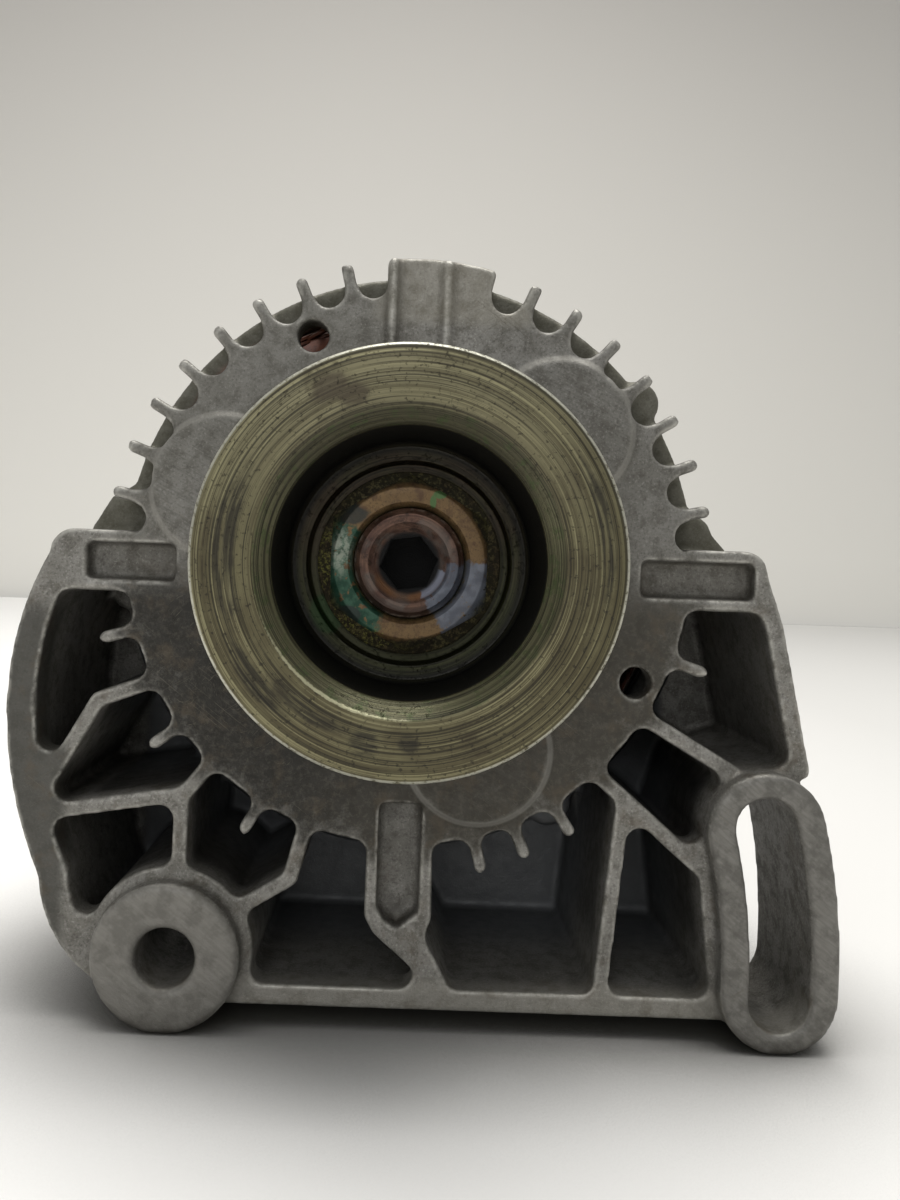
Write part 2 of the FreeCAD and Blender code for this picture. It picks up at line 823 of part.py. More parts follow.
def centre_rib_recess():
    """The hollow in front of the centre rib, which starts in the plate."""
    half = size("centre_rib_width / 2 - centre_rib_wall")
    tip = size("centre_rib_bottom")
    top = -size("plate_radius") + 4.6
    return prism([
        (-half, top),
        (-half, tip + 6.8),
        (-half + 1.3, tip + 4.6),
        (0.0, tip + 3.2),
        (half, tip + 6.2),
        (half, top),
    ], -MARGIN, size("centre_rib_recess_depth"))


def drive_end_bracket():
    boss_front = size("boss_front")
    boss_back = size("boss_front + boss_length")
    lug_back = size("boss_front + lug_length")
    rotor_side = size("rim_radius - bowl_overlap")
    skirt = size("lower_plate_radius - bowl_overlap")
    # Room for the plate, the bowl and everything that it holds
    inside = revolved([
        (0, -MARGIN),
        (skirt, -MARGIN),
        (skirt, size("rim_front")),
        (rotor_side, size("rim_front")),
        (rotor_side, boss_back),
        (0, boss_back),
    ])
    hollow = bowl_hollow()
    frame = bracket_frame().cut(inside).cut(hollow)
    boss = cylinder(size("boss_radius"), boss_front, boss_back, pivot())
    lug_half_width = size("slot_half_width + lug_wall")
    foot = math.asin((lug_half_width - size("boss_radius")) / size("slot_arc_radius"))
    lug_low_angle = math.degrees(foot)
    extra = size("lug_wall - lug_top_wall")
    lug_high_angle = size("slot_high_angle") - math.degrees(extra / size("slot_arc_radius"))
    lug = pivot_arc_slot(lug_half_width, lug_low_angle, lug_high_angle, boss_front, lug_back)
    ear_back = size("rim_front + front_ear_length")
    ear = cylinder(
        size("bolt_ear_radius"), size("rim_front"), ear_back, (size("bolt_circle"), 0)
    ).cut(cylinder(size("core_radius + seat_gap"), 0, ear_back + MARGIN))
    pad = cylinder(size("pad_radius"), -size("pad_height"), MARGIN, (size("pad_circle"), 0))
    pads = at_angles(pad, PAD_ANGLES)
    whole = bracket_bowl(hollow).multiFuse(
        [frame, boss, lug] + at_angles(ear, THROUGH_BOLT_ANGLES) + pads + panel_ribs()
    )
    holes = [
        pivot_arc_slot(
            size("slot_half_width"),
            size("slot_low_angle"),
            size("slot_high_angle"),
            boss_front - MARGIN,
            boss_back,
        ),
        cylinder(size("pivot_bore_radius"), boss_front - MARGIN, boss_back + MARGIN, pivot()),
        cylinder(size("lip_opening_radius"), -MARGIN, size("bearing_lip")),
    ]
    chamfer = size("bore_chamfer")
    bore = size("pivot_bore_radius")
    centre_x, centre_up = pivot()
    for end, direction in ((boss_front, 1), (boss_back, -1)):
        base = point(centre_x, end, centre_up)
        cone = Part.makeCone(bore + chamfer, bore, chamfer, base, point(0, direction, 0))
        holes.append(cone)
    for hole in PLATE_HOLES:
        holes.append(
            cylinder(size("plate_hole_radius"), -MARGIN, size("plate_thickness") + MARGIN, hole)
        )
    bolt = cylinder(
        size("bolt_radius + seat_gap"), size("rim_front + bolt_tip_depth") - MARGIN,
        ear_back + MARGIN, (size("bolt_circle"), 0),
    )
    bolt_way = cylinder(
        size("bolt_ear_radius"), ear_back, boss_back, (size("bolt_circle"), 0)
    )
    retainer_screw = cylinder(
        size("retainer_screw_radius + seat_gap"),
        size("plate_thickness"),
        size(BEARING_BACK) + MARGIN,
        (size("retainer_screw_circle"), 0),
    )
    holes += arm_recesses() + [centre_rib_recess()]
    holes += at_angles(bolt, THROUGH_BOLT_ANGLES) + at_angles(bolt_way, THROUGH_BOLT_ANGLES)
    holes += around(retainer_screw, 3, size("retainer_first_angle"))
    for hole in holes:
        whole = whole.cut(hole)
    return shaped("drive_end_bracket", whole.removeSplitter())


def panel_ribs():
    """The two raised ribs on the panel above the pulley."""
    width = size("panel_rib_width")
    height = size("panel_rib_height")
    bottom = size("pulley_radius") + 2.8
    ribs = []
    for side, rise in (("left", height), ("right", height * 0.7)):
        middle = size(side + "_panel_rib_x")
        top = math.sqrt(size("fin_tip_radius") ** 2 - (abs(middle) + width / 2) ** 2)
        ribs.append(block(middle - width / 2, middle + width / 2, -rise, MARGIN, bottom, top))
    return ribs


# Bearings


def bearing(prefix, bore, radius, front, width, land_inner, land_outer, ball_radius, count):
    """Two rings, two seals, a cage and its balls."""
    back = f"({front} + {width})"
    middle = f"({front} + {width} / 2)"
    pitch = f"(({bore} + {radius}) / 2)"
    track = f"({ball_radius} + running_gap)"
    outer = ring(prefix + "_bearing_outer_ring", land_outer, radius, front, back)
    cut_ball_track(outer, pitch, middle, track)
    inner = ring(prefix + "_bearing_inner_ring", bore, land_inner, front, back)
    cut_ball_track(inner, pitch, middle, track)
    seals = []
    inset = size("seal_inset")
    thickness = size("seal_thickness")
    for near in (size(front) + inset, size(back) - inset - thickness):
        seal = tube(size(land_inner + " + seal_lip_gap"), size(land_outer), near, near + thickness)
        seals.append(seal)
    shaped(prefix + "_bearing_seals", Part.makeCompound(seals))
    ball_place = point(size(pitch), size(middle), 0)
    ball = Part.makeSphere(size(ball_radius), ball_place)
    shaped(prefix + "_bearing_balls", Part.makeCompound(around(ball, count)))
    half_width = size(ball_radius) * 1.16
    half_wall = size(ball_radius) * 0.3
    cage = tube(
        size(pitch) - half_wall,
        size(pitch) + half_wall,
        size(middle) - half_width,
        size(middle) + half_width,
    )
    pocket = Part.makeCylinder(
        size(f"{ball_radius} + cage_pocket_gap"),
        size(radius),
        point(0, size(middle), 0),
        point(1, 0, 0),
    )
    cage = cage.cut(Part.makeCompound(around(pocket, count)))
    shaped(prefix + "_bearing_cage", cage)


def retainer():
    """The plate that holds the front bearing, and its screws."""
    front = size(BEARING_BACK)
    back = size(RETAINER_BACK)
    circle = size("retainer_screw_circle")
    hub = size("front_bearing_radius + hub_wall")
    lobe = cylinder(size("retainer_boss_radius"), front, back, (circle, 0))
    plate = cylinder(hub, front, back).multiFuse(around(lobe, 3, size("retainer_first_angle")))
    opening = cylinder(size("retainer_opening_radius"), front - MARGIN, back + MARGIN)
    hole = cylinder(
        size("retainer_screw_radius + seat_gap"), front - MARGIN, back + MARGIN, (circle, 0)
    )
    holes = around(hole, 3, size("retainer_first_angle"))
    plate = plate.cut(opening).cut(Part.makeCompound(holes))
    shaped("bearing_retainer_plate", plate.removeSplitter())
    shank = cylinder(
        size("retainer_screw_radius"), size("plate_thickness") + MARGIN, back, (circle, 0)
    )
    head_radius = size("retainer_screw_radius") * 1.7
    head_back = back + size("retainer_head_height")
    head = cylinder(head_radius, back, head_back, (circle, 0))
    half_slot = size("screw_slot_width / 2")
    slot = block(
        circle - head_radius,
        circle + head_radius,
        (back + head_back) / 2,
        head_back + MARGIN,
        -half_slot,
        half_slot,
    )
    screw = shank.fuse(head).cut(slot)
    shaped(
        "retainer_screws", Part.makeCompound(around(screw, 3, size("retainer_first_angle")))
    )


# Pulley end


def pulley():
    """Ribbed pulley with a deep cup in front."""
    rim_inner = "pulley_radius - pulley_edge_chamfer"
    outline = [
        ("shaft_radius", CUP_FLOOR),
        ("cup_step_radius", CUP_FLOOR),
        ("cup_step_radius + cup_step_height / 2", f"{CUP_FLOOR} - cup_step_height"),
        ("cup_radius - cup_corner", f"{CUP_FLOOR} - cup_step_height"),
        ("cup_radius", f"{CUP_FLOOR} - cup_step_height - cup_corner"),
        ("cup_radius", f"{PULLEY_FRONT} + cup_chamfer_depth"),
        ("cup_mouth_radius", PULLEY_FRONT),
        (rim_inner, PULLEY_FRONT),
        ("pulley_radius", f"{PULLEY_FRONT} + pulley_edge_chamfer"),
    ]
    groove_count = round(size("(pulley_width - 2 * groove_edge_width) / groove_pitch"))
    for number in range(groove_count):
        start = f"({PULLEY_FRONT} + groove_edge_width + {number} * groove_pitch)"
        valley = "pulley_radius - groove_depth"
        outline += [
            ("pulley_radius", f"{start} + groove_crest / 2"),
            (valley, f"{start} + groove_pitch / 2 - groove_crest / 2"),
            (valley, f"{start} + groove_pitch / 2 + groove_crest / 2"),
            ("pulley_radius", f"{start} + groove_pitch - groove_crest / 2"),
        ]
    outline += [
        ("pulley_radius", f"{PULLEY_BACK} - pulley_edge_chamfer"),
        (rim_inner, PULLEY_BACK),
        ("shaft_radius", PULLEY_BACK),
    ]
    turned("pulley", outline)


def pulley_nut():
    """Hexagon nut, chamfered at both ends, with two flats upright."""
    flats = size("nut_flats")
    front = size("nut_front")
    back = size(f"{CUP_FLOOR} - washer_thickness")
    chamfer = size("nut_chamfer")
    mouth = size("nut_mouth_chamfer")
    bore = size("shaft_radius")
    beyond = flats / math.sqrt(3) + MARGIN / 10
    face_radius = flats / 2 - size("cup_corner / 2")
    turned_blank = revolved([
        (bore + mouth, front),
        (face_radius, front),
        (beyond, front + chamfer),
        (beyond, back),
        (bore, back),
        (bore, front + mouth),
    ])
    nut = hexagon(flats, front, back, first_angle=30).common(turned_blank)
    shaped("pulley_nut", nut)


def rotor_shaft():
    """Stepped shaft with a thread, a hexagon socket and a slip-ring end."""
    front = size("shaft_front")
    thread = size("shaft_radius - thread_root")
    shoulder = size("front_bearing_bore + shaft_shoulder")
    rear_seat = size("rear_bearing_bore")
    rear_shoulder = rear_seat + size("shaft_shoulder")
    stub = size("slip_stub_radius")
    tip_chamfer = size("shaft_tip_chamfer")
    shaft = revolved([
        (0, front),
        (thread - tip_chamfer, front),
        (thread, front + tip_chamfer),
        (thread, size(CUP_FLOOR)),
        (size("shaft_radius"), size(CUP_FLOOR)),
        (size("shaft_radius"), size(BEARING_BACK)),
        (shoulder, size(BEARING_BACK)),
        (shoulder, size("pole_front - fan_thickness")),
        (size("shaft_radius"), size("pole_front - fan_thickness")),
        (size("shaft_radius"), size(f"{POLE_BACK} + fan_thickness")),
        (rear_shoulder, size(f"{POLE_BACK} + fan_thickness")),
        (rear_shoulder, size("rear_bearing_front")),
        (rear_seat, size("rear_bearing_front")),
        (rear_seat, size(REAR_BACK)),
        (stub, size(REAR_BACK)),
        (stub, size("slip_stub_end")),
        (0, size("slip_stub_end")),
    ])
    socket = hexagon(
        size("shaft_socket_flats"),
        front - MARGIN,
        front + size("shaft_socket_depth"),
        first_angle=size("shaft_socket_angle"),
    )
    sink_radius = size("countersink_radius")
    sink = size("countersink_depth")
    countersink = Part.makeCone(
        sink_radius, sink_radius - sink, sink, point(0, front, 0), point(0, 1, 0)
    )
    shaped("rotor_shaft", shaft.cut(socket).cut(countersink))


def pulley_end():
    pulley()
    ring(
        "pulley_washer",
        "shaft_radius + seat_gap",
        "washer_radius",
        f"{CUP_FLOOR} - washer_thickness",
        CUP_FLOOR,
    )
    pulley_nut()
    ring(
        "spacer_collar",
        "shaft_radius + seat_gap",
        "collar_radius",
        PULLEY_BACK,
        BEARING_FRONT,
    )
    rotor_shaft()


# Rotor


def claw_pole(label, faces_rear):
    """One claw pole: hub, toothed base and tapered fingers, drawn from its outer face."""
    base = size("pole_base_thickness")
    length = size("pole_length")
    radius = size(ROTOR_RADIUS)
    root_inner = size("pole_root_inner")
    tip_inner = size("pole_tip_inner")
    root_half = size("pole_root_angle / 2")
    tip_half = size("pole_tip_angle / 2")
    reach = length - size("pole_tip_setback")
    hub_radius = size("pole_hub_radius")
    pairs = round(size("pole_pairs"))

    def trapezoid(depth, inner, half_angle):
        half_chord = math.tan(math.radians(half_angle))
        outer = radius + MARGIN
        corners = [
            point(inner, depth, -inner * half_chord),
            point(outer, depth, -outer * half_chord),
            point(outer, depth, outer * half_chord),
            point(inner, depth, inner * half_chord),
        ]
        return Part.makePolygon(corners + corners[:1])

    finger = Part.makeLoft(
        [
            trapezoid(base - MARGIN, root_inner, root_half),
            trapezoid(reach, tip_inner, tip_half),
        ],
        True,
        True,
    )
    root = sector(hub_radius - MARGIN, radius + MARGIN, -root_half, root_half, 0, base)
    body = cylinder(size("pole_hub_radius + pole_web"), 0, base)
    teeth = around(finger, pairs) + around(root, pairs)
    body = body.multiFuse(teeth + [cylinder(hub_radius, 0, length / 2)])
    body = body.common(cylinder(radius, 0, length))
    body = body.cut(cylinder(size("shaft_radius + seat_gap"), -MARGIN, length))
    edge = size("pole_edge_bevel")
    bevel = revolved([
        (radius - edge - MARGIN, -MARGIN),
        (radius + MARGIN, -MARGIN),
        (radius + MARGIN, edge + MARGIN),
    ])
    body = body.cut(bevel)
    if faces_rear:
        body.rotate(point(0, 0, 0), point(1, 0, 0), 180)
        body = about_axis(body, 180 / pairs)
        body.translate(point(0, size(POLE_BACK), 0))
    else:
        body.translate(point(0, size("pole_front"), 0))
    shaped(label, body.removeSplitter())


def fan(label, disc_front, blade_inner, blade_front, blade_back):
    """A pressed fan: a disc with bent-up blades."""
    thickness = size("fan_thickness")
    radius = size("fan_blade_radius")
    disc = tube(size("shaft_radius + seat_gap"), radius, disc_front, disc_front + thickness)
    blade = block(blade_inner, radius, blade_front, blade_back, -thickness / 2, thickness / 2)
    middle = point((blade_inner + radius) / 2, 0, 0)
    blade.rotate(middle, point(0, 1, 0), size("fan_blade_lean"))
    blade = blade.common(cylinder(radius, blade_front, blade_back))
    blades = around(blade, round(size("fan_blades")))
    shaped(label, disc.multiFuse(blades))


def field_winding():
    """Plastic bobbin on the pole hubs, with the field coil on it."""
    wall = "bobbin_wall"
    front = "(pole_front + pole_base_thickness + winding_gap)"
    back = f"({POLE_BACK} - pole_base_thickness - winding_gap)"
    inner = "(pole_hub_radius + winding_gap)"
    turned("field_bobbin", [
        (inner, front),
        ("bobbin_flange_radius", front),
        ("bobbin_flange_radius", f"{front} + {wall}"),
        (f"{inner} + {wall}", f"{front} + {wall}"),
        (f"{inner} + {wall}", f"{back} - {wall}"),
        ("bobbin_flange_radius", f"{back} - {wall}"),
        ("bobbin_flange_radius", back),
        (inner, back),
    ])
    ring(
        "field_coil",
        f"{inner} + {wall} + seat_gap",
        "coil_radius",
        f"{front} + {wall} + seat_gap",
        f"{back} - {wall} - seat_gap",
    )


def slip_rings():
    """Insulating sleeve on the shaft end with two slip rings."""
    groove = "(ring_radius - ring_wall)"
    ring(
        "slip_ring_sleeve", "slip_stub_radius + seat_gap", f"{groove} - seat_gap",
        SLEEVE_FRONT, SLEEVE_BACK,
    )
    ring("inner_slip_ring", groove, "ring_radius", "first_ring_front",
         "first_ring_front + ring_width")
    ring("outer_slip_ring", groove, "ring_radius", "first_ring_front + ring_pitch",
         "first_ring_front + ring_pitch + ring_width")


def rotor():
    claw_pole("front_claw_pole", False)
    claw_pole("rear_claw_pole", True)
    field_winding()
    pole_front = size("pole_front")
    pole_back = size(POLE_BACK)
    thickness = size("fan_thickness")
    fan(
        "front_fan",
        pole_front - thickness,
        size("front_blade_inner"),
        pole_front - thickness - size("front_blade_length"),
        pole_front - thickness / 2,
    )
    fan(
        "rear_fan",
        pole_back,
        size("rear_blade_inner"),
        pole_back + thickness / 2,
        pole_back + thickness + size("rear_blade_length"),
    )
    slip_rings()


# Stator


def stator():
    """Slotted core with its winding."""
    front = size("core_front")
    back = size(CORE_BACK)
    bore = size("stator_bore_radius")
    count = round(size("slot_count"))
    mouth_depth = size("slot_mouth_depth")
    slot_bottom = size("slot_bottom_radius")
    half_slot = size("slot_width / 2")
    half_mouth = size("slot_mouth_width / 2")
    core = tube(bore, size("core_radius"), front, back)
    before = front - MARGIN
    beyond = back + MARGIN
    half_step = 180 / count
    slot = block(bore + mouth_depth, slot_bottom, before, beyond, -half_slot, half_slot)
    mouth = block(bore - MARGIN, bore + 2 * mouth_depth, before, beyond, -half_mouth, half_mouth)
    weld_groove = cylinder(size("weld_groove_radius"), before, beyond, (size("core_radius"), 0))
    core = core.cut(Part.makeCompound(around(slot.fuse(mouth), count, half_step)))
    core = core.cut(Part.makeCompound(around(weld_groove, 6, 3 * half_step)))
    shaped("stator_core", core)

    gap = size("winding_gap")
    half_wire = size("conductor_width / 2")
    inner = size("overhang_inner")
    outer = size("overhang_outer")
    length = size("overhang_length")
    corner = size("overhang_corner")
    bar_inner = bore + mouth_depth + gap
    bar = block(bar_inner, slot_bottom - gap, before, beyond, -half_wire, half_wire)
    overhangs = []
    for near, far in ((front - gap, front - gap - length), (back + gap, back + gap + length)):
        inward = corner if far > near else -corner
        overhangs.append(revolved([
            (inner, near),
            (outer, near),
            (outer, far - inward),
            (outer - corner, far),
            (inner + corner, far),
            (inner, far - inward),
        ]))
    winding = overhangs[0].multiFuse([overhangs[1]] + around(bar, count, half_step))
    shaped("stator_winding", winding)


# Slip-ring end bracket


def rear_bracket():
    """Finned bowl that closes the rear, with the rear bearing housing."""
    back = size("rear_plate_back")
    plate_front = size("rear_plate_back - rear_plate_thickness")
    rim_front = size(f"{CORE_BACK} - rim_overlap")
    rim_back = size(f"{CORE_BACK} + rear_rim_length")
    core_back = size(CORE_BACK)
    housing = size("rear_bearing_radius + rear_sleeve_thickness + seat_gap")
    hub_outer = housing + size("rear_hub_wall")
    hub_back = size(REAR_BACK + " + hub_end_gap")
    hub_front = size("rear_bearing_front")
    seat = size("core_radius + seat_gap")
    shoulder = size("core_radius - core_shoulder")
    outside = revolved([
        (0, rim_front),
        (size("rim_radius"), rim_front),
        (size("rim_radius"), rim_back),
        (size("fin_tip_radius"), back),
        (hub_outer, back),
        (hub_outer, hub_back),
        (0, hub_back),
    ])
    hollow = revolved([
        (0, rim_front - MARGIN),
        (seat, rim_front - MARGIN),
        (seat, core_back),
        (shoulder, core_back),
        (shoulder, rim_back),
        (size("fin_tip_radius - bowl_wall"), plate_front),
        (hub_outer, plate_front),
        (hub_outer, hub_front),
        (housing, hub_front),
        (housing, hub_back + MARGIN),
        (0, hub_back + MARGIN),
    ])
    bowl = outside.cut(hollow)
    pitch = size("fin_pitch_angle")
    count = int(360 / pitch)
    notch = bowl_notch(0, rim_back, back + MARGIN)
    bowl = bowl.cut(Part.makeCompound(around(notch, count, pitch / 2)))
    vent_half = size("rear_vent_width / 2")
    inner = size("rear_vent_inner")
    outer = size("rear_vent_outer")
    vent = block(inner, outer, plate_front - MARGIN, back + MARGIN, -vent_half, vent_half)
    bowl = bowl.cut(Part.makeCompound(around(vent, round(size("rear_vents")), 15)))
    ear = cylinder(
        size("bolt_ear_radius"), rim_front, rim_front + size("bolt_ear_length"),
        (size("bolt_circle"), 0),
    ).cut(cylinder(shoulder, rim_front - MARGIN, back))
    ear = ear.cut(cylinder(seat, rim_front - MARGIN, core_back))
    bowl = bowl.multiFuse(at_angles(ear, THROUGH_BOLT_ANGLES))
    bolt_hole = cylinder(
        size("bolt_radius + seat_gap"), rim_front - MARGIN, back + MARGIN, (size("bolt_circle"), 0)
    )
    head_room = cylinder(
        size("bolt_ear_radius + cover_gap"),
        rim_front + size("bolt_ear_length"),
        back + MARGIN,
        (size("bolt_circle"), 0),
    )
    holes = at_angles(bolt_hole, THROUGH_BOLT_ANGLES) + at_angles(head_room, THROUGH_BOLT_ANGLES)
    pad_radius = size("rear_pad_radius")
    screw_pad = cylinder(pad_radius, plate_front, back, (size("rectifier_circle"), 0))
    stud_pad = cylinder(pad_radius, plate_front, back, (size("cover_stud_circle"), 0))
    bowl = bowl.multiFuse(
        at_angles(screw_pad, RECTIFIER_SCREW_ANGLES) + at_angles(stud_pad, COVER_STUD_ANGLES[:2])
    )
    screw = cylinder(
        size("rectifier_screw_radius + seat_gap"), plate_front - MARGIN, back + MARGIN,
        (size("rectifier_circle"), 0),
    )
    stud = cylinder(
        size("cover_stud_radius + seat_gap"), plate_front - MARGIN, back + MARGIN,
        (size("cover_stud_circle"), 0),
    )
    lead = cylinder(
        size("phase_lead_radius + lead_hole_gap"), rim_back, back + MARGIN,
        (size("lead_circle"), 0),
    )
    holes += at_angles(screw, RECTIFIER_SCREW_ANGLES)
    holes += at_angles(stud, COVER_STUD_ANGLES[:2])
    holes += at_angles(lead, PHASE_LEAD_ANGLES)
    for place in holder_screw_places():
        holes.append(cylinder(size("rectifier_screw_radius"), plate_front, back + MARGIN, place))
    bowl = bowl.cut(Part.makeCompound(holes))
    shaped("slip_ring_end_bracket", bowl.removeSplitter())


def through_bolts():
    """Hexagon-headed bolts that pull the two brackets onto the core."""
    front = size("rim_front + bolt_tip_depth")
    seat = size(f"{CORE_BACK} - rim_overlap + bolt_ear_length")
    place = (size("bolt_circle"), 0)
    bolt = cylinder(size("bolt_radius"), front, seat, place).fuse(
        hexagon(size("bolt_head_flats"), seat, seat + size("bolt_head_height"), place)
    )
    shaped("through_bolts", Part.makeCompound(at_angles(bolt, THROUGH_BOLT_ANGLES)))


# Brushes and regulator


def brush_middles():
    """Depths of the middles of the two slip rings."""
    first = size("first_ring_front + ring_width / 2")
    return {"inner": first, "outer": first + size("ring_pitch")}


def brush_top():
    return size("ring_radius + brush_length")


def holder_top():
    """Height of the underside of the holder's roof, where the springs end."""
    return brush_top() + size("spring_length")


def holder_screw_places():
    up = size("holder_flange_bottom + holder_screw_edge")
    across = size("holder_flange_half_width - holder_screw_edge")
    return [(-across, up), (across, up)]


def brush_gear():
    half_width = size("brush_width / 2")
    half_thickness = size("brush_thickness / 2")
    contact = cylinder(size("ring_radius + brush_seat_gap"), size(SLEEVE_FRONT), size(SLEEVE_BACK))
    for name, middle in brush_middles().items():
        near = middle - half_thickness
        far = middle + half_thickness
        above_axis = size("ring_radius / 2")
        brush = block(-half_width, half_width, near, far, above_axis, brush_top()).cut(contact)
        shaped(f"{name}_brush", brush)
        spring(f"{name}_brush_spring", middle)
    brush_holder(half_width, half_thickness)


def spring(label, middle):
    """A compression spring between the brush and the holder's roof."""
    wire = size("spring_wire")
    radius = size("spring_radius")
    end_gap = size("spring_end_gap")
    bottom = brush_top() + wire + end_gap
    height = size("spring_length") - 2 * (wire + end_gap)
    turns = 5
    helix = Part.makeHelix(height / turns, height, radius)
    section = Part.makeCircle(wire, point(radius, 0, 0), point(0, 1, 0))
    coil = Part.Wire(helix.Edges).makePipeShell([Part.Wire([section])], True, True)
    coil.translate(point(0, middle, bottom))
    shaped(label, Part.makeCompound([coil]))


def brush_holder(half_width, half_thickness):
    """Holder with a guide for each brush, a roof and a flange on the rear plate."""
    clearance = size("brush_clearance")
    front = size(SLEEVE_FRONT + " - running_gap")
    back = size(SLEEVE_BACK)
    side = size("holder_half_width")
    flange_side = size("holder_flange_half_width")
    plate_back = size("rear_plate_back")
    flange_back = plate_back + size("holder_flange_thickness")
    top = holder_top() + size("holder_roof")
    holder = block(-side, side, front, back, size("holder_bottom"), top)
    flange = block(
        -flange_side, flange_side, plate_back, flange_back, size("holder_flange_bottom"), top
    )
    neck = block(-side, side, plate_back, back, size("holder_flange_bottom"), top)
    holder = holder.multiFuse([flange, neck])
    for middle in brush_middles().values():
        guide = block(
            -half_width - clearance,
            half_width + clearance,
            middle - half_thickness - clearance,
            middle + half_thickness + clearance,
            0,
            holder_top(),
        )
        holder = holder.cut(guide)
    for place in holder_screw_places():
        holder = holder.cut(
            cylinder(
                size("rectifier_screw_radius + seat_gap"), plate_back - MARGIN,
                flange_back + MARGIN, place,
            )
        )
    shaped("brush_holder", holder.removeSplitter())
    screws = []
    for place in holder_screw_places():
        shank = cylinder(
            size("rectifier_screw_radius"), size(SCREW_FRONT), flange_back, place
        )
        head = cylinder(
            size("screw_head_radius"), flange_back, flange_back + size("screw_head_height"), place
        )
        screws.append(shank.fuse(head))
    shaped("brush_holder_screws", Part.makeCompound(screws))


def regulator():
    """Voltage regulator on the holder, with its cooling fins and a spade terminal."""
    bottom = holder_top() + size("holder_roof")
    top = bottom + size("regulator_height")
    side = size("holder_flange_half_width")
    front = size("rear_plate_back")
    back = front + size("regulator_depth")
    body = block(-side, side, front, back, bottom, top)
    thickness = size("regulator_fin_thickness")
    pitch = size("regulator_fin_pitch")
    fins = []
    for side_sign in (-1, 1):
        for number in range(2):
            middle = side_sign * (side - thickness - pitch * number)
            fins.append(block(
                middle - thickness / 2, middle + thickness / 2, back,
                back + size("regulator_fin_height"), bottom + thickness, top - thickness,
            ))
    shaped("voltage_regulator", body.multiFuse(fins))
    half_width = size("terminal_width / 2")
    half_thickness = size("terminal_thickness / 2")
    up = size("terminal_up")
    shaped("lamp_terminal", block(
        -half_width, half_width, back, size("terminal_end"), up - half_thickness,
        up + half_thickness,
    ))


# Rectifier


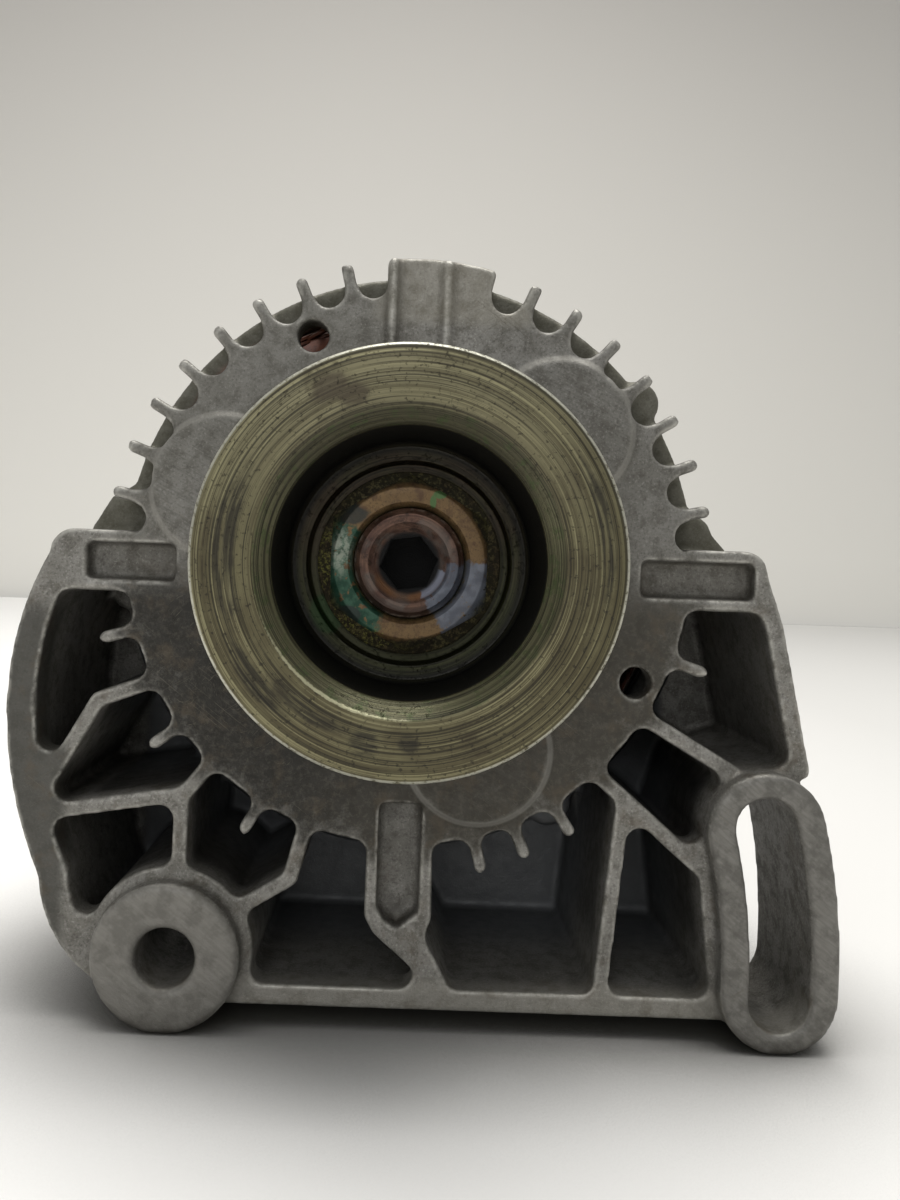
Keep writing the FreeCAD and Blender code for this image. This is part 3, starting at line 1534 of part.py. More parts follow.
def rectifier():
    """Two heat sinks with three diodes each, the terminal carrier and the fixings."""
    inner = size("heat_sink_inner")
    outer = size("heat_sink_outer")
    circle = size("rectifier_circle")
    plate_back = size("rear_plate_back")
    negative_back = size(NEGATIVE_SINK_BACK)
    positive_front = size(POSITIVE_SINK_FRONT)
    positive_back = size(POSITIVE_SINK_BACK)
    carrier_back = size(CARRIER_BACK)
    lead_radius = size("diode_lead_radius")
    diode = size("diode_radius")
    height = size("diode_height")

    def holes(radius, angles, front, back, at=circle):
        hole = cylinder(radius, front - MARGIN, back + MARGIN, (at, 0))
        return at_angles(hole, angles)

    screw_hole = size("rectifier_screw_radius + seat_gap")
    negative = sector(inner, outer, SINK_START_ANGLE, SINK_END_ANGLE, plate_back, negative_back)
    cuts = holes(diode + size("seat_gap"), NEGATIVE_DIODE_ANGLES, plate_back, negative_back)
    cuts += holes(screw_hole, RECTIFIER_SCREW_ANGLES, plate_back, negative_back)
    shaped("negative_heat_sink", negative.cut(Part.makeCompound(cuts)))

    positive = sector(
        inner, outer, POSITIVE_SINK_START_ANGLE, SINK_END_ANGLE, positive_front, positive_back
    )
    lead_room = size("diode_lead_radius + diode_lead_gap")
    cuts = holes(diode + size("seat_gap"), POSITIVE_DIODE_ANGLES, positive_front, positive_back)
    cuts += holes(screw_hole, RECTIFIER_SCREW_ANGLES, positive_front, positive_back)
    cuts += holes(lead_room, NEGATIVE_DIODE_ANGLES, positive_front, positive_back)
    cuts += holes(
        size("stud_radius + seat_gap"), [size("stud_angle")], positive_front, positive_back,
        size("stud_circle"),
    )
    shaped("positive_heat_sink", positive.cut(Part.makeCompound(cuts)))

    carrier = sector(
        inner, size("carrier_outer"), CARRIER_START_ANGLE, CARRIER_END_ANGLE, positive_back,
        carrier_back,
    )
    cuts = holes(screw_hole, RECTIFIER_SCREW_ANGLES, positive_back, carrier_back)
    cuts += holes(
        lead_radius + size("seat_gap"), NEGATIVE_DIODE_ANGLES + POSITIVE_DIODE_ANGLES,
        positive_back, carrier_back,
    )
    cuts += holes(
        size("phase_lead_radius + seat_gap"), PHASE_LEAD_ANGLES, positive_back, carrier_back,
        size("lead_circle"),
    )
    shaped("rectifier_terminal_carrier", carrier.cut(Part.makeCompound(cuts)))

    seal = size("winding_gap")
    lead_end = carrier_back + size("lead_tail")

    def press_diode(front, back):
        can = cylinder(diode, front, back, (circle, 0))
        lead = cylinder(lead_radius, back - seal, lead_end, (circle, 0))
        return can.fuse(lead)

    negative_front = plate_back + seal
    negative_diode = press_diode(negative_front, negative_front + height)
    shaped(
        "negative_diodes", Part.makeCompound(at_angles(negative_diode, NEGATIVE_DIODE_ANGLES))
    )
    positive_end = positive_back - seal
    positive_diode = press_diode(positive_end - height, positive_end)
    shaped(
        "positive_diodes", Part.makeCompound(at_angles(positive_diode, POSITIVE_DIODE_ANGLES))
    )
    spacer = tube(
        screw_hole, size("sink_spacer_radius"), negative_back, positive_front, (circle, 0)
    )
    shaped(
        "heat_sink_spacers", Part.makeCompound(at_angles(spacer, RECTIFIER_SCREW_ANGLES))
    )
    shank = cylinder(
        size("rectifier_screw_radius"), size(SCREW_FRONT), carrier_back, (circle, 0)
    )
    head = cylinder(
        size("screw_head_radius"), carrier_back, carrier_back + size("screw_head_height"),
        (circle, 0),
    )
    outer_angles = [RECTIFIER_SCREW_ANGLES[0], RECTIFIER_SCREW_ANGLES[2]]
    shaped(
        "rectifier_screws", Part.makeCompound(at_angles(shank.fuse(head), outer_angles))
    )
    lead = cylinder(
        size("phase_lead_radius"), size("phase_lead_front"), lead_end,
        (size("lead_circle"), 0),
    )
    shaped("phase_leads", Part.makeCompound(at_angles(lead, PHASE_LEAD_ANGLES)))


# Battery stud


def battery_stud():
    place = polar(size("stud_circle"), size("stud_angle"))
    radius = size("stud_radius")
    positive_front = size(POSITIVE_SINK_FRONT)
    positive_back = size(POSITIVE_SINK_BACK)
    end_radius = size("stud_end_radius")
    end = positive_front + size("stud_length")
    sleeve_back = size("cover_back + stud_sleeve_rise")
    washer_back = sleeve_back + size("stud_washer_thickness")
    nut_back = washer_back + size("stud_nut_height")
    chamfer = size("stud_tip_chamfer")
    chamfer_front = point(place[0], end - chamfer, place[1])
    stud = cylinder(radius, positive_front, nut_back, place)
    free_end = cylinder(end_radius, nut_back, end - chamfer, place)
    tip = Part.makeCone(end_radius, end_radius - chamfer, chamfer, chamfer_front, point(0, 1, 0))
    head_front = positive_front - size("stud_head_height")
    head = hexagon(size("stud_nut_flats"), head_front, positive_front, place)
    shaped("battery_stud", stud.multiFuse([free_end, tip, head]))
    hole = radius + size("seat_gap")
    shaped(
        "battery_stud_insulator",
        tube(hole, size("stud_sleeve_radius"), positive_back, sleeve_back, place),
    )
    washer = tube(hole, size("stud_washer_radius"), sleeve_back, washer_back, place)
    shaped("battery_stud_washer", washer)
    nut = hexagon(size("stud_nut_flats"), washer_back, nut_back, place)
    nut = nut.cut(cylinder(hole, washer_back - MARGIN, nut_back + MARGIN, place))
    shaped("battery_stud_nut", nut)


# Rear cover


def cover_fixings():
    """Studs from the rear bracket through the cover, with their nuts."""
    back = size("cover_back")
    radius = size("cover_stud_radius")
    stud_end = back + size("cover_nut_height + cover_stud_tail")
    studs = []
    nuts = []
    for place in cover_stud_places():
        studs.append(cylinder(radius, size(SCREW_FRONT), stud_end, place))
        nut = hexagon(size("cover_nut_flats"), back, back + size("cover_nut_height"), place)
        hole = cylinder(radius + size("seat_gap"), back - MARGIN, stud_end, place)
        nuts.append(nut.cut(hole))
    shaped("cover_studs", Part.makeCompound(studs))
    shaped("cover_nuts", Part.makeCompound(nuts))


def cover_stud_places():
    """Two studs on the rear plate, and one in the rectifier's middle screw place."""
    circles = [size("cover_stud_circle"), size("cover_stud_circle"), size("rectifier_circle")]
    return [polar(circle, angle) for circle, angle in zip(circles, COVER_STUD_ANGLES)]


def rear_cover():
    """Plastic cup over the rectifier and the brush gear, with vents in its back."""
    front = size("rear_plate_back + cover_gap")
    back = size("cover_back")
    wall = size("cover_wall")
    radius = size("cover_radius")
    corner = size("cover_corner")
    inner = radius - wall
    inner_corner = corner * 0.8
    outside = revolved([
        (0, front), (radius, front), (radius, back - corner), (radius - corner, back), (0, back)
    ])
    inside = revolved([
        (0, front - MARGIN),
        (inner, front - MARGIN),
        (inner, back - wall - inner_corner),
        (inner - inner_corner, back - wall),
        (0, back - wall),
    ])
    cover = outside.cut(inside)
    posts = []
    post_radius = size("cover_post_radius")
    for place, seat in zip(cover_stud_places(), (front, front, size(CARRIER_BACK))):
        posts.append(cylinder(post_radius, seat, back - wall / 2, place))
    up = size("terminal_up")
    half = size("terminal_width / 2")
    shroud_wall = size("shroud_wall")
    shroud_back = back + size("shroud_length")
    window_side = half + size("shroud_room")
    window_height = 2 * size("shroud_room")
    side = window_side + shroud_wall
    height = window_height + shroud_wall
    shroud = block(-side, side, back - wall / 2, shroud_back, up - height, up + height)
    window = block(
        -window_side, window_side, back - 3 * wall, shroud_back + MARGIN, up - window_height,
        up + window_height,
    )
    cover = cover.multiFuse(posts + [shroud]).cut(window)
    vent_front = back - 3 * wall
    vent_half = size("cover_vent_width / 2")
    vent = block(
        size("cover_vent_inner"), size("cover_vent_outer"), vent_front, back + MARGIN, -vent_half,
        vent_half,
    )
    first = size("cover_vent_first_angle")
    angles = [first + size("cover_vent_step") * n for n in range(round(size("cover_vents")))]
    keep = cylinder(post_radius * 1.5, vent_front, back + MARGIN, cover_stud_places()[2])
    cover = cover.cut(Part.makeCompound(at_angles(vent, angles)).cut(keep))
    for place in cover_stud_places():
        hole = size("cover_stud_radius + running_gap")
        cover = cover.cut(cylinder(hole, front - MARGIN, back + MARGIN, place))
    stud_place = polar(size("stud_circle"), size("stud_angle"))
    stud_hole = size("stud_sleeve_radius + winding_gap")
    cover = cover.cut(cylinder(stud_hole, vent_front, back + MARGIN, stud_place))
    shaped("rear_cover", cover.removeSplitter())


drive_end_bracket()
bearing(
    "front", "front_bearing_bore", "front_bearing_radius", BEARING_FRONT, "front_bearing_width",
    "front_land_inner", "front_land_outer", "front_ball_radius", 8,
)
retainer()
pulley_end()
rotor()
stator()
rear_bracket()
bearing(
    "rear", "rear_bearing_bore", "rear_bearing_radius", "rear_bearing_front",
    "rear_bearing_width", "rear_land_inner", "rear_land_outer", "rear_ball_radius", 9,
)
ring(
    "rear_bearing_sleeve",
    "rear_bearing_radius + seat_gap",
    "rear_bearing_radius + rear_sleeve_thickness",
    "rear_bearing_front",
    REAR_BACK,
)
through_bolts()
brush_gear()
regulator()
rectifier()
battery_stud()
cover_fixings()
rear_cover()

doc.recompute()

for feature in doc.Objects:
    if "Invalid" in feature.State or "Error" in feature.State:
        raise RuntimeError(f"{feature.Label} failed: {feature.State}")
for piece in sub_parts:
    if piece.Shape.isNull() or not piece.Shape.isValid():
        raise RuntimeError(f"{piece.Label} has no valid shape")

os.makedirs("parts", exist_ok=True)
for piece in sub_parts:
    piece.Shape.exportStep(f"parts/{piece.Label}.step")
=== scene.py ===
import json
import math

import bmesh
import bpy
import numpy as np
from mathutils import Matrix, Vector, noise
from mathutils.bvhtree import BVHTree


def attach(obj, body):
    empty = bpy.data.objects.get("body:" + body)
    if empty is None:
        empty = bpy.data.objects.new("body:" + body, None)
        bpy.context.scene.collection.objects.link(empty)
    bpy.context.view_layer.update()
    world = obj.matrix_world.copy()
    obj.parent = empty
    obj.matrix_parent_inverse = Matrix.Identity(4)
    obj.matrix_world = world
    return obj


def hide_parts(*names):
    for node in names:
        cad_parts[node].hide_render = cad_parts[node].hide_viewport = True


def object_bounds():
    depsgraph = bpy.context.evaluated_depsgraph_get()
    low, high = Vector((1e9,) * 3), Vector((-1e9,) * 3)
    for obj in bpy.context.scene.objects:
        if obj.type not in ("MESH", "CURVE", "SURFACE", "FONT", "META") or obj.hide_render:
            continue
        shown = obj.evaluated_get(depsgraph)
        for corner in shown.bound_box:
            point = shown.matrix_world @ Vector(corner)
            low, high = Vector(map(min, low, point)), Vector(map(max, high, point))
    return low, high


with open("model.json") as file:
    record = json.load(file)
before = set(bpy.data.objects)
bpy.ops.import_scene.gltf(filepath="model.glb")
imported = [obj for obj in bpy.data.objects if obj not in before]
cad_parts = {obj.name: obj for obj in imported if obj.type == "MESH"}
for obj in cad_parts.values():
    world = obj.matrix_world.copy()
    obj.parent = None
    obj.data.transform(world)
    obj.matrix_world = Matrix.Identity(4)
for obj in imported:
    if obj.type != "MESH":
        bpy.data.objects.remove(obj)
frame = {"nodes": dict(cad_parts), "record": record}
cad_low, cad_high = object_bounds()

MM = 0.001
AXIS_X = 39.0
AXIS_UP = 68.1
AXIS = Vector((AXIS_X * MM, 0.0, AXIS_UP * MM))

# Sizes seen in the photo, in millimetres and degrees about the rotor axis
SHAFT_SOCKET_TURN = 9.0
PAD_CIRCLE = 34.6
PAD_RADIUS = 12.4
PAD_TURNS = (43.0, 159.5, 292.0)
PLATE_RADIUS = 53.0
RIM_RADIUS = 31.2
FACE_DEPTH = -29.7
CUP_RADIUS = 19.8
THREAD_RADIUS = 8.36


# Finishes, built node by node; places and sizes in them are in millimetres from the rotor axis


def colour(red, green, blue):
    """A colour written as a screen shows it, turned into light values."""
    shares = [channel / 255 for channel in (red, green, blue)]
    light = [s / 12.92 if s <= 0.04045 else ((s + 0.055) / 1.055) ** 2.4 for s in shares]
    return (*light, 1.0)


class Finish:
    """One procedural material and the few nodes that all of them share."""

    def __init__(self, name, metallic=0.0, roughness=0.5, **fixed):
        self.material = bpy.data.materials.new(name)
        self.material.use_nodes = True
        self.tree = self.material.node_tree
        self.tree.nodes.clear()
        self.shader = self.node("ShaderNodeBsdfPrincipled")
        self.shader.inputs["Metallic"].default_value = metallic
        self.shader.inputs["Roughness"].default_value = roughness
        for socket, value in fixed.items():
            self.shader.inputs[socket.replace("_", " ")].default_value = value
        output = self.node("ShaderNodeOutputMaterial")
        self.tree.links.new(self.shader.outputs["BSDF"], output.inputs["Surface"])
        place = self.node("ShaderNodeTexCoord").outputs["Object"]
        shift = self.node("ShaderNodeVectorMath", operation="SUBTRACT")
        self.feed(shift.inputs[0], place)
        shift.inputs[1].default_value = AXIS
        scale = self.node("ShaderNodeVectorMath", operation="SCALE")
        self.feed(scale.inputs[0], shift.outputs[0])
        scale.inputs["Scale"].default_value = 1 / MM
        self.place = scale.outputs[0]
        apart = self.node("ShaderNodeSeparateXYZ")
        self.feed(apart.inputs[0], self.place)
        self.x, self.depth, self.up = apart.outputs
        self._height = None

    def node(self, kind, **settings):
        made = self.tree.nodes.new(kind)
        for key, value in settings.items():
            setattr(made, key, value)
        return made

    def feed(self, socket, value):
        if isinstance(value, bpy.types.NodeSocket):
            self.tree.links.new(value, socket)
        else:
            socket.default_value = value

    def maths(self, operation, first, second=0.0, clamp=False):
        made = self.node("ShaderNodeMath", operation=operation, use_clamp=clamp)
        self.feed(made.inputs[0], first)
        self.feed(made.inputs[1], second)
        return made.outputs[0]

    def plus(self, first, second):
        return self.maths("ADD", first, second)

    def minus(self, first, second):
        return self.maths("SUBTRACT", first, second)

    def times(self, first, second):
        return self.maths("MULTIPLY", first, second)

    def length(self, across, upright):
        """The length of the vector that has these two parts."""
        return self.maths("SQRT", self.plus(self.times(across, across), self.times(upright, upright)))

    def radius(self):
        """Distance from the rotor axis."""
        return self.length(self.x, self.up)

    def angle(self):
        """Angle about the rotor axis in degrees, from the right towards up."""
        turn = self.maths("ARCTAN2", self.up, self.x)
        return self.times(turn, 180 / math.pi)

    def vector(self, x, y, z):
        made = self.node("ShaderNodeCombineXYZ")
        for socket, value in zip(made.inputs, (x, y, z)):
            self.feed(socket, value)
        return made.outputs[0]

    def noise(self, size, detail=3.0, grit=0.5, place=None, twist=0.0):
        """Soft noise whose patches are about this size, from 0 to 1."""
        made = self.node("ShaderNodeTexNoise", noise_dimensions="3D")
        self.feed(made.inputs["Vector"], self.place if place is None else place)
        made.inputs["Scale"].default_value = 1.0 / size
        made.inputs["Detail"].default_value = detail
        made.inputs["Roughness"].default_value = grit
        made.inputs["Distortion"].default_value = twist
        return made.outputs[0]

    def stretched(self, along, across, turn, size=1.0, detail=2.0):
        """Noise drawn out into streaks in the plane that faces front, turned by some degrees."""
        mapping = self.node("ShaderNodeMapping", vector_type="TEXTURE")
        self.feed(mapping.inputs["Vector"], self.place)
        mapping.inputs["Rotation"].default_value = (0.0, math.radians(turn), 0.0)
        mapping.inputs["Scale"].default_value = (along, across, across)
        return self.noise(size, detail, place=mapping.outputs[0])

    def turning(self, fineness=1.0, wander=1.0, detail=3.0):
        """Fine concentric tool lines about the rotor axis."""
        radius = self.radius()
        line = self.minus(radius, self.times(self.depth, 0.8))
        spread = self.vector(
            self.times(line, fineness),
            self.times(self.maths("DIVIDE", self.x, radius), 0.57 * wander),
            self.times(self.maths("DIVIDE", self.up, radius), 0.57 * wander),
        )
        return self.noise(1.0, detail, 0.6, place=spread)

    def step(self, value, low, high):
        """0 below low, 1 above high and smooth in between; low may be the larger."""
        made = self.node("ShaderNodeMapRange", interpolation_type="SMOOTHSTEP")
        self.feed(made.inputs["Value"], value)
        upwards = low < high
        made.inputs["From Min"].default_value = low if upwards else high
        made.inputs["From Max"].default_value = high if upwards else low
        made.inputs["To Min"].default_value = 0.0 if upwards else 1.0
        made.inputs["To Max"].default_value = 1.0 if upwards else 0.0
        return made.outputs[0]

    def both(self, *masks):
        made = masks[0]
        for mask in masks[1:]:
            made = self.times(made, mask)
        return made

    def either(self, first, second):
        return self.maths("MAXIMUM", first, second)

    def over(self, base, share, strength, *tone):
        """The base with a tone laid over it where the mask is, at this strength."""
        return self.mix(self.times(share, strength), base, colour(*tone))

    def mix(self, share, first, second):
        made = self.node("ShaderNodeMix", data_type="RGBA")
        self.feed(made.inputs[0], share)
        self.feed(made.inputs[6], first)
        self.feed(made.inputs[7], second)
        return made.outputs[2]

    def blend(self, share, first, second):
        """Plain number between two numbers."""
        made = self.node("ShaderNodeMix", data_type="FLOAT")
        self.feed(made.inputs[0], share)
        self.feed(made.inputs[2], first)
        self.feed(made.inputs[3], second)
        return made.outputs[0]

    def edges(self, low, high):
        """Sharp corners of a dense mesh, found by their pointiness."""
        return self.step(self.node("ShaderNodeNewGeometry").outputs["Pointiness"], low, high)

    def recess(self, reach, low, high, samples=2):
        """Inner corners and pockets within some millimetres."""
        made = self.node("ShaderNodeAmbientOcclusion", samples=samples, only_local=False)
        made.inputs["Distance"].default_value = reach * MM
        return self.step(made.outputs["AO"], low, high)

    def ragged(self, size, wobble):
        """An offset that makes an edge uneven, up to the wobble either way."""
        return self.times(self.minus(self.noise(size, 4, 0.6), 0.5), 2 * wobble)

    def spot(self, x, up, half_width, half_height, wobble=0.3, size=1.5, soft=0.15):
        """A blot with a ragged edge, about a point in the plane that faces front."""
        ragged = self.ragged(size, wobble)
        across = self.maths("DIVIDE", self.minus(self.x, x), half_width)
        upright = self.maths("DIVIDE", self.minus(self.up, up), half_height)
        return self.step(self.plus(self.length(across, upright), ragged), 1 + soft, 1 - soft)

    def smear(self, middle, turn, half_width, half_turn, wobble=0.4, size=2.0, soft=0.35):
        """A ragged smear along the turning lines, about a radius and an angle."""
        along, aside = math.cos(math.radians(turn)), math.sin(math.radians(turn))
        x, up = self.x, self.up
        ahead = self.plus(self.times(x, along), self.times(up, aside))
        over = self.minus(self.times(up, along), self.times(x, aside))
        off = self.times(self.maths("ARCTAN2", over, ahead), 180 / math.pi / half_turn)
        across = self.maths("DIVIDE", self.minus(self.radius(), middle), half_width)
        ragged = self.ragged(size, wobble)
        return self.step(self.plus(self.length(off, across), ragged), 1 + soft, 1 - soft)

    def arcs(self, x, up, reach, low=0.62):
        """Fine broken scratch arcs round a point in the plane that faces front."""
        across = self.minus(self.x, x)
        upright = self.minus(self.up, up)
        away = self.length(across, upright)
        spread = self.vector(self.times(away, 4.2), self.times(across, 0.3), self.times(upright, 0.3))
        lines = self.step(self.noise(1.0, 3, 0.75, place=spread), low, low + 0.06)
        return self.both(lines, self.step(away, reach, reach * 0.5))

    def bump(self, height, depth):
        """Adds relief of that depth in millimetres over whatever relief is there."""
        made = self.node("ShaderNodeBump")
        made.inputs["Strength"].default_value = 1.0
        made.inputs["Distance"].default_value = depth * MM
        self.feed(made.inputs["Height"], height)
        if self._height is not None:
            self.feed(made.inputs["Normal"], self._height)
        self._height = made.outputs[0]

    def done(self, base, roughness=None, metallic=None):
        self.feed(self.shader.inputs["Base Color"], base)
        if roughness is not None:
            self.feed(self.shader.inputs["Roughness"], roughness)
        if metallic is not None:
            self.feed(self.shader.inputs["Metallic"], metallic)
        if self._height is not None:
            self.feed(self.shader.inputs["Normal"], self._height)
        return self.material


def cast_aluminium():
    """Greyed die-cast aluminium: speckled and scratched; its edges lighter with wear and a painted
    highlight; its lower plate dirty and darkened by a painted shadow of the pulley; its corners and pockets
    grimy, with oil, and darkened by painted shade.
    """
    f = Finish("cast_aluminium", metallic=0.5)
    radius = f.radius()
    cloud = f.noise(14, 4, 0.6)
    mottle = f.noise(2.6, 4, 0.65)
    speck = f.noise(0.45, 3, 0.7)
    base = f.mix(f.step(cloud, 0.32, 0.7), colour(116, 114, 108), colour(136, 134, 129))
    base = f.over(base, f.step(mottle, 0.45, 0.66), 0.65, 88, 85, 78)
    base = f.over(base, f.step(speck, 0.54, 0.66), 0.6, 70, 68, 63)
    base = f.over(base, f.step(speck, 0.44, 0.34), 0.45, 172, 170, 164)
    plate = f.both(f.step(radius, PLATE_RADIUS, PLATE_RADIUS - 2), f.step(f.depth, 1.4, 0.6))
    low = f.step(f.up, 3, -9)
    film = f.noise(7, 5, 0.7)
    near = f.step(f.plus(radius, f.times(film, 22)), 73, 52)
    patchy = f.times(f.step(f.noise(3.2, 5, 0.75), 0.28, 0.68), 0.5)
    # The lower plate is darkened partly by dirty film and partly by a painted shadow of the pulley above
    # it, the darker tone towards the left.
    soil_and_shadow = f.both(plate, low, f.maths("ADD", f.times(near, 0.88), patchy, clamp=True))
    dirt_and_shadow_tone = f.mix(f.step(f.x, 4, -24), colour(58, 55, 48), colour(30, 28, 23))
    base = f.mix(f.times(soil_and_shadow, 0.95), base, dirt_and_shadow_tone)
    grain = f.both(soil_and_shadow, f.step(f.noise(1.1, 5, 0.75), 0.47, 0.64))
    base = f.over(base, grain, 0.16, 118, 113, 102)
    # Near black close under the pulley at the left: dirty film and painted shadow together.
    black = f.step(f.plus(radius, f.times(film, 12)), 48, 38)
    black = f.both(black, soil_and_shadow, f.step(f.x, 6, -8))
    base = f.over(base, black, 0.6, 22, 21, 18)
    right = f.both(plate, f.step(f.x, 4, 20), f.step(f.up, -16, 0))
    base = f.over(base, right, 0.35, 74, 72, 66)
    outer = f.both(f.step(f.x, -56.5, -59), f.step(f.up, -6, -12), f.step(f.depth, 8, 4))
    base = f.over(base, outer, 0.85, 66, 65, 60)
    panel = f.both(f.step(f.up, 40, 43), f.step(f.x, -9, -6), f.step(f.x, 21, 18), f.step(f.depth, 6, 4))
    # The panel between the top ribs is painted lighter, a painted highlight where it faces the light from
    # above; the brown mottles after it are stains.
    base = f.over(base, panel, 0.4, 152, 148, 136)
    panel = f.both(panel, f.step(f.noise(3.5, 5, 0.7), 0.42, 0.66))
    base = f.over(base, panel, 0.4, 90, 84, 68)
    left = f.both(plate, f.step(f.x, 6, -16), f.step(f.up, -6, 4))
    base = f.over(base, left, 0.45, 88, 86, 79)
    bottom = f.both(f.step(f.up, -70, -73), f.step(f.depth, 6, 2))
    base = f.over(base, bottom, 0.5, 154, 151, 142)
    recessed = f.both(
        f.step(f.depth, 1.4, 2.4), f.step(f.depth, 6, 4), f.step(f.up, -13, -11), f.step(f.x, -58, -44)
    )
    base = f.over(base, recessed, 0.4, 68, 64, 55)
    brown = f.both(low, f.step(f.noise(5, 4, 0.65), 0.5, 0.68), f.step(f.depth, 8, 2))
    base = f.over(base, brown, 0.45, 84, 74, 60)
    # Edges painted lighter: partly wear, partly a painted highlight where light catches them.
    worn = f.both(f.edges(0.512, 0.55), f.step(f.noise(4.5, 5, 0.75), 0.36, 0.62))
    base = f.over(base, worn, 0.62, 192, 190, 182)
    faces = f.step(f.depth, -3.2, -3.7)
    mill = f.stretched(4, 0.5, 38, detail=3)
    faced = f.mix(f.step(mill, 0.3, 0.72), colour(106, 104, 99), colour(120, 118, 113))
    faced = f.over(faced, f.step(mottle, 0.42, 0.66), 0.6, 84, 82, 77)
    faced = f.over(faced, f.step(f.x, 0, -20), 0.2, 144, 141, 133)
    base = f.mix(faces, base, faced)
    nearest = 100.0
    for turn in PAD_TURNS:
        across = f.minus(f.x, PAD_CIRCLE * math.cos(math.radians(turn)))
        upright = f.minus(f.up, PAD_CIRCLE * math.sin(math.radians(turn)))
        nearest = f.maths("MINIMUM", f.length(across, upright), nearest)
    from_edge = f.maths("ABSOLUTE", f.minus(nearest, PAD_RADIUS))
    # The pad edges are painted lighter, a painted highlight along their ridges.
    ridge = f.both(plate, f.step(from_edge, 0.75, 0.25))
    base = f.over(base, ridge, 0.45, 150, 148, 141)
    lines = f.step(f.stretched(7, 0.3, 28), 0.5, 0.64)
    lines = f.both(plate, f.step(nearest, PAD_RADIUS - 0.2, PAD_RADIUS - 1.0), lines)
    base = f.over(base, lines, 0.26, 74, 72, 66)
    scratch = f.either(
        f.step(f.stretched(26, 0.16, 38), 0.66, 0.7), f.step(f.stretched(22, 0.14, -31), 0.67, 0.71)
    )
    scratch = f.both(scratch, f.step(f.noise(16, 2), 0.5, 0.6))
    swirl = f.either(f.arcs(-35, -14, 12), f.either(f.arcs(-29, -25, 13), f.arcs(-38, -24, 10)))
    swirl = f.both(f.either(swirl, f.arcs(-21, -34, 11, 0.63)), plate)
    scratch = f.either(scratch, swirl)
    base = f.over(base, scratch, 0.42, 122, 117, 105)
    # Inner corners found by ambient occlusion are darkened: partly a grimy film, partly painted shade.
    corner = f.recess(5.0, 0.82, 0.42)
    grime_and_shade = f.both(corner, f.step(f.noise(4, 4, 0.6), 0.2, 0.65))
    base = f.over(base, grime_and_shade, 0.7, 54, 50, 42)
    # Faces behind the fins painted darker olive-grey: partly their tone, partly painted shade in the
    # notches.
    behind = f.both(f.step(f.depth, 2.0, 6.0), f.step(f.up, 0.0, 5.0), f.step(f.depth, 44.0, 40.0))
    base = f.over(base, behind, 0.72, 76, 74, 59)
    copper = f.both(behind, f.smear(50.0, 138.0, 4.0, 20.0, 0.3, 4.0, 0.3))
    base = f.over(base, copper, 0.55, 122, 82, 72)
    under = f.both(f.step(f.up, 0.0, -3.0), f.step(f.depth, 56.0, 50.0))
    under = f.both(under, f.step(f.maths("ABSOLUTE", f.x), 56.0, 53.0))
    # Pockets under the axis darkened: partly oil, partly painted shade.
    oil_and_shade = f.both(under, f.step(f.depth, 2.0, 8.0), f.step(f.up, -70.0, -62.0))
    base = f.over(base, oil_and_shade, 0.75, 44, 42, 39)
    deep = f.both(under, f.step(f.depth, 13.0, 32.0))
    base = f.over(base, deep, 0.9, 102, 104, 106)
    # One pocket at the lower right is painted near black, as painted shade.
    shut = f.both(under, f.step(f.x, 20, 34), f.step(f.up, -44, -36), f.step(f.depth, 3, 9))
    base = f.over(base, shut, 0.85, 26, 27, 29)
    f.bump(f.noise(0.9, 4, 0.7), 0.11)
    f.bump(f.noise(0.28, 2, 0.6), 0.04)
    f.bump(scratch, -0.03)
    rough = f.blend(f.step(mottle, 0.3, 0.7), 0.44, 0.6)
    rough = f.blend(f.times(worn, 0.7), rough, 0.34)
    rough = f.blend(f.times(grime_and_shade, 0.7), rough, 0.72)
    return f.done(base, rough)


